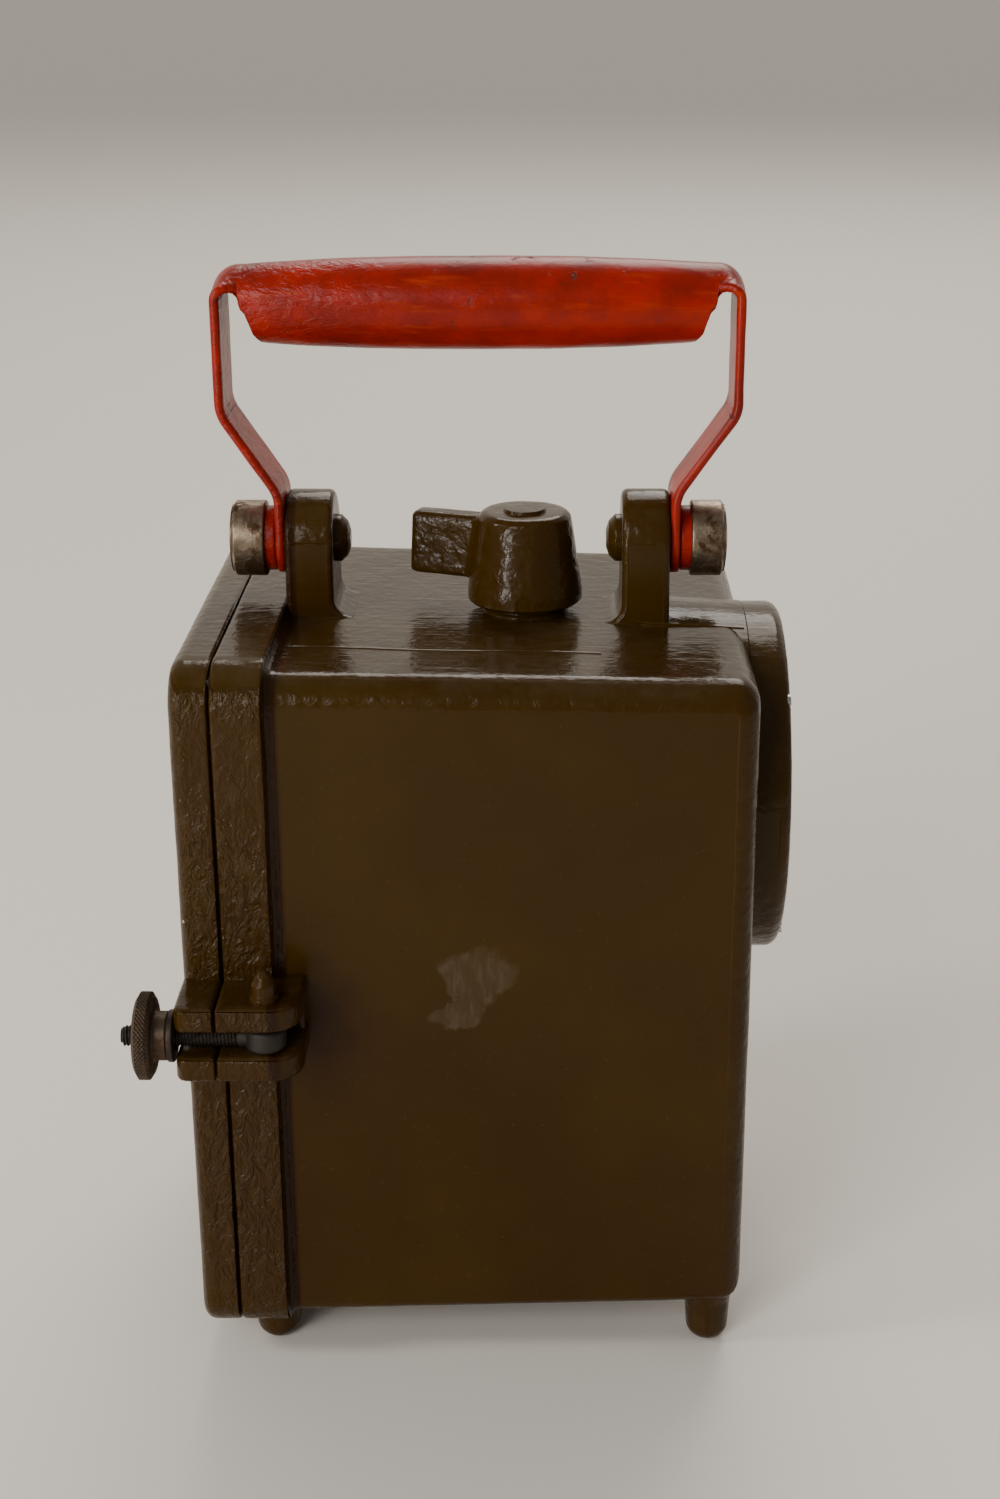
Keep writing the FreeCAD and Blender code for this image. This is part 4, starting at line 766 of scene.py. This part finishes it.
def handleSheet():
    # a sheet's middle surface: a path up one strap, over the grip and down the other, each point carried
    # sideways along a flat line on the straps and round a circle on the grip; then a half thickness to each
    # side of it, joined by half-round edges
    half = grip["sheet"] / 2
    strapX = handleHigh[0] - handleMiddle - half - grip["narrower"]
    crown = handleHigh[2]
    lowX = abs(screwLow[0] + grip["strapIn"] + half - handleMiddle)
    pivotZ = pivot[2]
    axisZ = crown - grip["radius"]
    tongueZ = axisZ + grip["radius"] - grip["swell"] - half
    side = roundedLine([(-lowX, pivotZ - grip["strapHalf"]), (-lowX, pivotZ + grip["crankLow"]),
                        (-strapX, pivotZ + grip["crankHigh"]), (-strapX, tongueZ), (-48, tongueZ)],
                       [0, grip["crankRound"], grip["crankRound"], grip["shoulder"], 0], 14)
    side = filled(side, 1.0)
    dense = np.concatenate([np.arange(-66, -50, 0.2), np.arange(-50, 0.1, 1.0)])
    body = side[side[:, 1] < tongueZ - 1e-4]
    start = body[-1, 0]
    dense = dense[dense > start + 0.1]
    left = np.concatenate([body, np.stack([dense, np.full(len(dense), tongueZ)], 1)])
    path = np.concatenate([left, (left * [-1, 1])[::-1][1:]])
    x, z = path.T
    away = np.abs(x)
    onGrip = z > tongueZ - 3.5
    swell = grip["swell"] * (1 - np.clip(away / 60, 0, 1) ** 2.4)
    z = z + np.where(z > tongueZ - 1e-3, swell, 0)
    x = x + grip["shift"] * np.clip((z - pivotZ - 10) / 24, 0, 1)
    ahead = np.gradient(np.stack([x, z], 1), axis=0)
    ahead /= np.linalg.norm(ahead, axis=1, keepdims=True)
    up = np.stack([-ahead[:, 1], ahead[:, 0]], 1)
    barrel = grip["radius"] - grip["swell"] + swell - half
    gone = np.clip((z - (tongueZ - 6.5)) / 6.5, 0, 1)
    curl = gone ** 1.5 / barrel
    wrap = np.interp(away, grip["scallopAt"], grip["scallopWrap"])
    wide = np.radians(wrap) * barrel
    wide = np.where(onGrip, np.maximum(wide, grip["strapHalf"] * 0.98), grip["strapHalf"])
    fromEnd = z - (pivotZ - grip["strapHalf"])
    roundEnd = np.clip(grip["strapHalf"] ** 2 - (grip["strapHalf"] - fromEnd) ** 2, 1e-4, None)
    wide = np.where(fromEnd < grip["strapHalf"], np.sqrt(roundEnd), wide)
    share = np.linspace(-1, 1, 73)[None]
    arc = wide[:, None] * share
    safe = np.maximum(curl, 1e-5)[:, None]
    y = np.sin(safe * arc) / safe
    down = (1 - np.cos(safe * arc)) / safe
    surface = np.stack([x[:, None] - up[:, :1] * down + handleMiddle, y, z[:, None] - up[:, 1:] * down], -1)
    along, across = np.gradient(surface, axis=0), np.gradient(surface, axis=1)
    normal = np.cross(along, across)
    normal /= np.maximum(np.linalg.norm(normal, axis=-1, keepdims=True), 1e-9)
    edges = []
    for column, sign in ((-1, 1), (0, -1)):
        out = across[:, column] * sign
        out -= normal[:, column] * (out * normal[:, column]).sum(-1, keepdims=True)
        out /= np.maximum(np.linalg.norm(out, axis=-1, keepdims=True), 1e-9)
        phi = (np.linspace(0, math.pi, 7)[1:-1] + (0 if sign > 0 else math.pi))[None, :, None]
        edges.append(surface[:, column][:, None] + half * (
            normal[:, column][:, None] * np.cos(phi) + sign * out[:, None] * np.sin(phi)))
    face, backFace = surface + normal * half, surface - normal * half
    ring = np.concatenate([face, edges[0], backFace[:, ::-1], edges[1], face[:, :1]], axis=1)
    ends = [np.broadcast_to(surface[i].mean(0), (1,) + ring.shape[1:]) for i in (0, -1)]
    return np.concatenate([ends[0], ring, ends[1]])


addPiece("carryHandle", [handleSheet()], "handle", "red_paint", "carrying_handle",
         wobble=grip["wobble"], seed=12, sharp=55)

# ---- pivots: bushes, shouldered screws and domed nuts
pivots = {"radius": 10.0, "headLength": 9.1, "headDome": 1.0, "headEdge": 1.1, "socket": 3.2,
          "socketDeep": 1.6, "shank": 3.9, "shankLength": 15.0, "bushBore": 4.1, "bushRadius": 8.6,
          "nutRadius": 6.3, "nutShoulder": 4.6, "nutTip": 2.4}


def pivotHead(outer, way):
    # the socket's floor and wall, a dome that falls with the square of the radius, the rim and the shank
    radius, edge, length = pivots["radius"], pivots["headEdge"], pivots["headLength"]
    end = -length - pivots["shankLength"]
    dome = np.linspace(pivots["socket"] + 0.6, radius - edge, 8)
    domeRise = pivots["headDome"] * (1 - (dome / radius) ** 2)
    shape = np.concatenate([
        [(-pivots["socketDeep"], 0), (-pivots["socketDeep"], pivots["socket"])],
        np.stack([domeRise - 0.3, dome], 1),
        roundedLine([(-0.4, radius - edge), (-edge, radius), (-length, radius), (-length, radius - 0.8),
                     (-length, pivots["shank"]), (end, pivots["shank"]), (end, 0)],
                    [0, 0.5, 0.5, 0, 0, 0, 0])])
    shape[:, 0] = outer + way * (shape[:, 0] - 0.6)
    return turned(filled(shape, 1.0), pivotAxis, "x", 72)


def pivotBush(start, end):
    bore, radius = pivots["bushBore"], pivots["bushRadius"]
    return spun(ringPoints(start, end, bore, radius), [0, 0.7, 0.7, 0, 0], 0.8, pivotAxis, "x", 64)


def pivotNut(face, tip):
    deep = tip - face
    back = face - 0.3 * np.sign(deep)
    points = [(back, 0), (back, pivots["nutRadius"]), (face + deep * 0.4, pivots["nutRadius"]),
              (face + deep * 0.82, pivots["nutShoulder"]), (tip, pivots["nutTip"]), (tip, 0)]
    return spun(points, [0, 0, 0.9, 1.6, 1.2, 0], 0.7, pivotAxis, "x", 48)


for name, way in (("left", -1), ("right", 1)):
    side = name.title()
    low, high = (corner[0] for corner in corners(f"pivot_screw_{name}"))
    addPiece(f"pivotScrew{side}", [pivotHead(low if way < 0 else high, way)], "case", "bare_steel",
             f"pivot_screw_{name}", wobble=0.05, seed=20 + way)
    low, high = (corner[0] for corner in corners(f"handle_bush_{name}"))
    addPiece(f"pivotBush{side}", [pivotBush(low, high)], "handle", "red_paint", f"handle_bush_{name}",
             wobble=0.12, seed=30 + way)
    low, high = (corner[0] for corner in corners(f"pivot_nut_{name}"))
    face, tip = (low, high) if way < 0 else (high, low)
    addPiece(f"pivotNut{side}", [pivotNut(face, tip)], "case", "olive_paint", f"pivot_nut_{name}",
             wobble=0.08, seed=40 + way)
print("handle made")

# ---- switch knob
knobLow = corners("switch_knob")[0]
knob = {"skirt": 2.0, "base": 15.25, "top": 12.1, "height": 22.3, "round": 1.9, "buttonRise": 0.8,
        "leverStart": 3.3, "leverTop": 20.2, "leverLength": 32.0, "leverHalf": 4.1, "leverTopHalf": 3.4,
        "leverRound": 1.4, "fillet": 2.6, "turn": math.radians(160), "wobble": 0.16}


def knobSkin():
    # circles up a cone, each drawn out on one side into the lever's outline: straight sides, a rounded end
    # and a fillet at its root; the lever's lower and upper faces come from rows at one height
    steps = {"arc": 64, "fillet": 7, "side": 16, "end": 12}

    def circleRadius(height):
        return knob["base"] + (knob["top"] - knob["base"]) * max(height - 1.5, 0) / (knob["height"] - 1.5)

    def outline(height, inset, out, drawIn=0.0):
        radius = circleRadius(height)
        rise = (height - knob["leverStart"]) / (knob["leverTop"] - knob["leverStart"])
        wide = knob["leverHalf"] + (knob["leverTopHalf"] - knob["leverHalf"]) * min(max(rise, 0), 1) - inset
        length = knob["leverLength"] - 0.6 * rise - inset
        fillet = knob["fillet"]
        rootX = math.sqrt((radius + fillet) ** 2 - (wide + fillet) ** 2)
        rootAngle = math.atan2(wide + fillet, rootX)
        around = np.linspace(rootAngle, fullTurn - rootAngle, steps["arc"] + 1)
        arc = np.stack([np.cos(around), np.sin(around)], 1) * radius
        sweep = np.linspace(rootAngle + math.pi, 1.5 * math.pi, steps["fillet"] + 1)[1:]
        upper = np.stack([rootX + fillet * np.cos(sweep), wide + fillet + fillet * np.sin(sweep)], 1)
        along = np.linspace(rootX, length - knob["leverRound"], steps["side"] + 1)[1:]
        sideUp = np.stack([along, np.full(len(along), wide)], 1)
        bend = np.linspace(quarter, 0, 6)[1:]
        nose = np.stack([length - knob["leverRound"] + knob["leverRound"] * np.cos(bend),
                         wide - knob["leverRound"] + knob["leverRound"] * np.sin(bend)], 1)
        half = np.concatenate([upper, sideUp, nose])
        full = np.concatenate([arc, (half * [1, -1]), half[::-1]])
        flat = np.linspace(-rootAngle, rootAngle, 2 * len(half) + 1)[1:]
        plainCircle = np.concatenate([arc, np.stack([np.cos(flat), np.sin(flat)], 1) * radius])[:len(full)]
        shape = plainCircle * (1 - out) * (1 - drawIn / radius) + full * out
        shape = np.concatenate([shape, shape[:1]])
        return np.concatenate([shape, np.full((len(shape), 1), height)], 1)

    phi = np.linspace(0, quarter, 5)
    low, high, r = knob["leverStart"], knob["leverTop"], knob["leverRound"]
    rows = [outline(0.0, 0, 0, knob["base"] * 1.0064), outline(0.0, 0, 0, 3.0)]
    rows += [outline(-knob["skirt"], 0, 0, drawIn) for drawIn in (3.0, 0.8)]
    rows += [outline(h, 0, 0) for h in (0.8 - knob["skirt"], 0.8, 1.6, low - 0.3)]
    rows += [outline(low, r, out) for out in (0, 0.33, 0.66, 1)]
    rows += [outline(low + r * (1 - math.cos(p)), r * (1 - math.sin(p)), 1) for p in phi[1:]]
    rows += [outline(h, 0, 1) for h in np.linspace(low + r, high - r, 12)[1:]]
    rows += [outline(high - r + r * math.sin(p), r * (1 - math.cos(p)), 1) for p in phi[1:]]
    rows += [outline(high + 0.02 * (1 - out), r, out) for out in (0.66, 0.33, 0)]
    top, soft = knob["height"], knob["round"]
    rows += [outline(top - soft + soft * math.sin(p), 0, 0, soft * (1 - math.cos(p))) for p in phi]
    for drawIn, lift in ((4.0, 0), (5.6, 0), (6.3, 0), (6.7, knob["buttonRise"]), (7.4, knob["buttonRise"]),
                         (10, knob["buttonRise"]), (knob["top"], knob["buttonRise"])):
        row = outline(top, 0, 0, drawIn)
        row[:, 2] += lift
        rows.append(row)
    grid = np.stack(rows)
    cos, sin = math.cos(knob["turn"]), math.sin(knob["turn"])
    centre = middle("switch_spindle")
    return np.stack([centre[0] + grid[..., 0] * cos - grid[..., 1] * sin,
                     centre[1] + grid[..., 0] * sin + grid[..., 1] * cos, knobLow[2] + grid[..., 2]], -1)


knobGrid = knobSkin()
addPiece("switchKnob", [knobGrid], "switch", "olive_paint", "switch_knob",
         wobble=knob["wobble"], seed=15)
print("switch made")

# ---- latch: pin, swing bolt, washer and thumb nut
latch = {"boltRadius": 2.7, "shankLength": 30.0, "pinRadius": 2.6, "collar": 3.6, "neck": 3.0,
         "bore": 3.5, "washerRadius": 6.6, "nutRadius": 10.75, "nutFace": 9.6, "hubRadius": 6.2,
         "hubLength": 3.6, "eyeRadius": 5.2, "eyeHalf": 3.0, "eyeBore": 2.5,
         "pitch": 0.9, "threadDeep": 0.5, "knurls": 58, "knurlDeep": 0.28, "knurlSlant": 1.05}
pinLow, pinHigh = corners("latch_pin")
pinMiddle = middle("latch_pin")
latchAxis = (0, pinMiddle[1], latchRise)
stackTop = latchRise + ears["stack"] / 2
pinPoints = [(pinLow[2], 0), (pinLow[2], latch["pinRadius"]), (stackTop - 0.5, latch["pinRadius"]),
             (stackTop - 0.5, latch["collar"]), (stackTop + 1.3, latch["collar"]),
             (stackTop + 1.6, latch["neck"]), (stackTop + 4.6, latch["neck"]), (pinHigh[2] - 1.2, 2.0),
             (pinHigh[2], 0.9), (pinHigh[2], 0)]
pinGrid = spun(pinPoints, [0, 0.5, 0, 0, 0.5, 0.3, 1.5, 1.2, 0.6, 0], 0.8, (pinMiddle[0], pinMiddle[1], 0),
               "z", 40)
addPiece("latchPin", [pinGrid], "case", "olive_paint", "latch_pin", wobble=0.06, seed=17)

boltLow = corners("swing_bolt")[0]
boltX = np.arange(boltLow[0], boltLow[0] + latch["shankLength"], 0.11)
chamfer = np.minimum(latch["boltRadius"], 1.9 + (boltX - boltLow[0]))
threadProfile = np.concatenate([[(boltX[0], 0)], np.stack([boltX, chamfer], 1),
                                [(boltX[-1] + 0.6, latch["boltRadius"]),
                                 (pinMiddle[0] - 2, latch["boltRadius"]), (pinMiddle[0] - 2, 0)]])


def thread(along, angle):
    # a screw thread: a triangle wave whose phase goes round with the angle, fading out at the shank
    turns = along / latch["pitch"] - angle / fullTurn
    wave = np.abs(2 * (turns - np.floor(turns)) - 1)
    on = (along > boltX[0] + 0.05) & (along < boltX[-1] - 0.5)
    return -latch["threadDeep"] * wave * on


eyePoints = ringPoints(-latch["eyeHalf"], latch["eyeHalf"], latch["eyeBore"], latch["eyeRadius"])
boltGrids = [turned(threadProfile, latchAxis, "x", 36, ripple=thread),
             spun(eyePoints, [0, 1.3, 1.3, 0, 0], 0.7, (pinMiddle[0], pinMiddle[1], latchRise), "z", 44)]
addPiece("swingBolt", boltGrids, "latch", "rusty_steel", "swing_bolt", shadedBoltSteel, sharp=60)

low, high = corners("latch_washer")
washer = spun(ringPoints(low[0], high[0], latch["bore"], latch["washerRadius"]), [0, 0.4, 0.4, 0, 0], 0.6,
              latchAxis, "x", 48)
addPiece("latchWasher", [washer], "washer", "rusty_steel", "latch_washer")

low, high = corners("thumb_nut")
hub = high[0] - latch["hubLength"]
nutPoints = [(low[0], latch["bore"]), (low[0], latch["nutFace"]), (low[0] + 0.9, latch["nutRadius"]),
             (hub - 0.9, latch["nutRadius"]), (hub, latch["nutFace"]), (hub, latch["hubRadius"]),
             (high[0], latch["hubRadius"]), (high[0], latch["bore"]), (low[0], latch["bore"])]
shape = roundedLine(nutPoints, [0, 0.5, 0.3, 0.3, 0.5, 0.6, 0.5, 0, 0])


def knurl(along, angle):
    # a diamond knurl: the lower of two slanting triangle waves, kept to the rim between its chamfers
    swing = (along - low[0]) * latch["knurlSlant"]
    count = angle * latch["knurls"] / fullTurn
    waves = [np.abs(2 * (t - np.floor(t)) - 1) for t in (count + swing, count - swing)]
    on = np.clip((along - low[0] - 0.35) / 0.5, 0, 1) * np.clip((hub - 0.3 - along) / 0.5, 0, 1)
    return latch["knurlDeep"] * (2 * np.minimum(*waves) - 0.6) * on


nutProfile = filled(shape, 0.16)
rimOnly = nutProfile[:, 1] > 9
nutGrid = turned(nutProfile, latchAxis, "x", latch["knurls"] * 8,
                 ripple=lambda along, angle: knurl(along, angle) * rimOnly[:, None])
addPiece("thumbNut", [nutGrid], "nut", "rusty_steel", "thumb_nut", nutSteel, sharp=65)
print("latch made")

# ---- lens end
face = front + lens["depth"]
seatFace = front + lens["seatDeep"]
bezelPoints = [(front, lens["seat"]), (front, lens["radius"]), (face, lens["radius"]),
               (face, lens["mouth"]), (face - 1.6, lens["bore"]), (seatFace, lens["bore"]),
               (seatFace, lens["seat"]), (front, lens["seat"])]
bezel = spun(bezelPoints, [0, 0.4, lens["round"], 0.8, 0.5, 0, 0, 0], 1.2, lensAxis, "x", 160)
addPiece("bezelRing", [bezel], "case", "olive_paint", "bezel_ring", wobble=0.1, seed=6)

glassBack = corners("lens_glass")[0][0]
glassFront = glassBack + lens["glassEdge"]
spread = np.linspace(0, lens["clear"], 26)
domeX = glassFront + lens["dome"] * (1 - (spread / lens["clear"]) ** 2)
shape = np.concatenate([[(glassBack, 0), (glassBack, lens["glassRadius"]), (glassFront, lens["glassRadius"])],
                        np.stack([domeX, spread], 1)[::-1]])
addPiece("lensGlass", [turned(filled(shape, 2.0), lensAxis, "x", 96)], "case", "lens_glass", "lens_glass")

low, high = corners("reflector")
reflector = {"depth": 33.9, "throat": 5.0, "rim": 36.0, "lip": 38.8, "lipThick": 0.8}
curve = np.linspace(reflector["throat"], reflector["rim"], 40)
# the bowl's depth grows with the square of its radius
bowl = np.stack([low[0] + reflector["depth"] * (curve / reflector["rim"]) ** 2, curve], 1)
outerBowl = bowl[::-1] + [-0.5, 0.7]
lip = [(high[0], reflector["lip"]), (high[0] - reflector["lipThick"], reflector["lip"])]
shape = np.concatenate([bowl, lip, outerBowl, bowl[:1]])
addPiece("reflectorBowl", [turned(shape, lensAxis, "x", 96)], "case", "reflector_chrome",
         "reflector")
low, high = corners("bulb_glass")
bulb = {"radius": 5.6, "neck": 3.4, "neckLength": 2.0}
ball = np.linspace(0.25, 1, 24) * math.pi
neck = [(low[0], 0), (low[0], bulb["neck"]), (low[0] + bulb["neckLength"], bulb["neck"] + 0.1)]
ballX = high[0] - bulb["radius"] - bulb["radius"] * np.cos(ball)
shape = np.concatenate([neck, np.stack([ballX, bulb["radius"] * np.sin(ball)], 1)])
addPiece("bulbGlass", [turned(shape, lensAxis, "x", 48)], "case", "bulb_glass",
         "bulb_glass")
print("lens end made")

# ---- coil springs behind the battery plate
spring = {"turns": 5.5, "coil": 8.2, "wire": 0.8, "closed": 0.09, "open": 0.82}
for i in (1, 2):
    # a helix whose first and last turns lie flat: the angle grows evenly, the rise only in between
    low, high = corners(f"pressure_spring_{i}")
    spot = (low + high) / 2
    turnsAt = np.linspace(0, spring["turns"] * fullTurn, 220)
    rise = np.clip((np.linspace(0, 1, 220) - spring["closed"]) / spring["open"], 0, 1)
    helix = np.stack([low[0] + spring["wire"] + (high[0] - low[0] - 2 * spring["wire"]) * rise,
                      spot[1] + spring["coil"] * np.cos(turnsAt),
                      spot[2] + spring["coil"] * np.sin(turnsAt)], 1)
    addPiece(f"plateSpring{i}", [tube(helix, spring["wire"], 10)], "cover", "zinc_steel",
             f"pressure_spring_{i}")
print("springs made")

# ---- floor, light and camera
floorMesh = bpy.data.meshes.new("floor")
reach = 14                   # metres from the middle to each edge of the floor
floorMesh.from_pydata([(-reach, -reach, 0), (reach, -reach, 0), (reach, reach, 0), (-reach, reach, 0)], [],
                      [(0, 1, 2, 3)])
floor = bpy.data.objects.new("floor", floorMesh)
bpy.context.scene.collection.objects.link(floor)
floorMesh.materials.append(startMaterial("paleFloor", Base_Color=(0.80, 0.76, 0.70, 1), Roughness=0.6)[0])

studio = {
    "back": (0.86, 0.78, 0.68), "backLight": 1.05, "room": (0.80, 0.77, 0.73), "roomLight": 0.36,
    # place, width, watts and colour of each soft light
    "window": ((-0.75, -1.45, 0.95), 0.9, 15.0, (1.0, 0.97, 0.93)),
    "glint": ((-0.85, -1.05, 0.22), 0.22, 5.0, (1.0, 0.97, 0.93)),
    "side": ((-1.25, -0.35, 0.85), 0.3, 7.0, (1.0, 0.96, 0.90)),
    "over": ((0.3, 2.0, 2.3), 1.8, 45.0, (1.0, 0.94, 0.86)),
}
world = bpy.data.worlds.new("studio")
bpy.context.scene.world = world
world.use_nodes = True
sky = world.node_tree
background = sky.nodes["Background"]
ways = node(sky, "SeparateXYZ", {"Vector": node(sky, "TexCoord").outputs["Generated"]})
behind = between(sky, ways.outputs["Y"], 0.15, 0.85)
sky.links.new(blended(sky, behind, studio["room"], studio["back"]), background.inputs["Color"])
strength = between(sky, behind, 0, 1, studio["roomLight"], studio["backLight"])
sky.links.new(strength, background.inputs["Strength"])

for name in ("window", "glint", "side", "over"):
    spot, wide, power, tint = studio[name]
    lamp = bpy.data.lights.new(name, "AREA")
    lamp.shape, lamp.size, lamp.energy, lamp.color = "DISK", wide, power, tint
    light = bpy.data.objects.new(name, lamp)
    light.location = spot
    light.rotation_euler = (Vector(spot) - Vector((0, 0, 0.12))).to_track_quat("Z", "Y").to_euler()
    bpy.context.scene.collection.objects.link(light)

view = {"spot": (0.01445, -0.5651, 0.3630), "down": 20.5, "left": 1.29, "roll": 0.33, "focal": 52.48,
        "sensor": 36.0}
down, left, roll = (math.radians(view[key]) for key in ("down", "left", "roll"))
ahead = Vector((-math.sin(left) * math.cos(down), math.cos(left) * math.cos(down), -math.sin(down)))
right = Vector((math.cos(left), math.sin(left), 0))
below = ahead.cross(right)
turnedRight = right * math.cos(roll) + below * math.sin(roll)
turnedBelow = below * math.cos(roll) - right * math.sin(roll)
camera = bpy.data.cameras.new("camera")
camera.sensor_fit, camera.sensor_height, camera.lens = "VERTICAL", view["sensor"], view["focal"]
camera.clip_start = 0.01
cameraObject = bpy.data.objects.new("camera", camera)
axes = Matrix((turnedRight, -turnedBelow, -ahead)).transposed().to_4x4()
axes.translation = view["spot"]
cameraObject.matrix_world = axes
bpy.context.scene.collection.objects.link(cameraObject)
bpy.context.scene.camera = cameraObject
print("stage set")
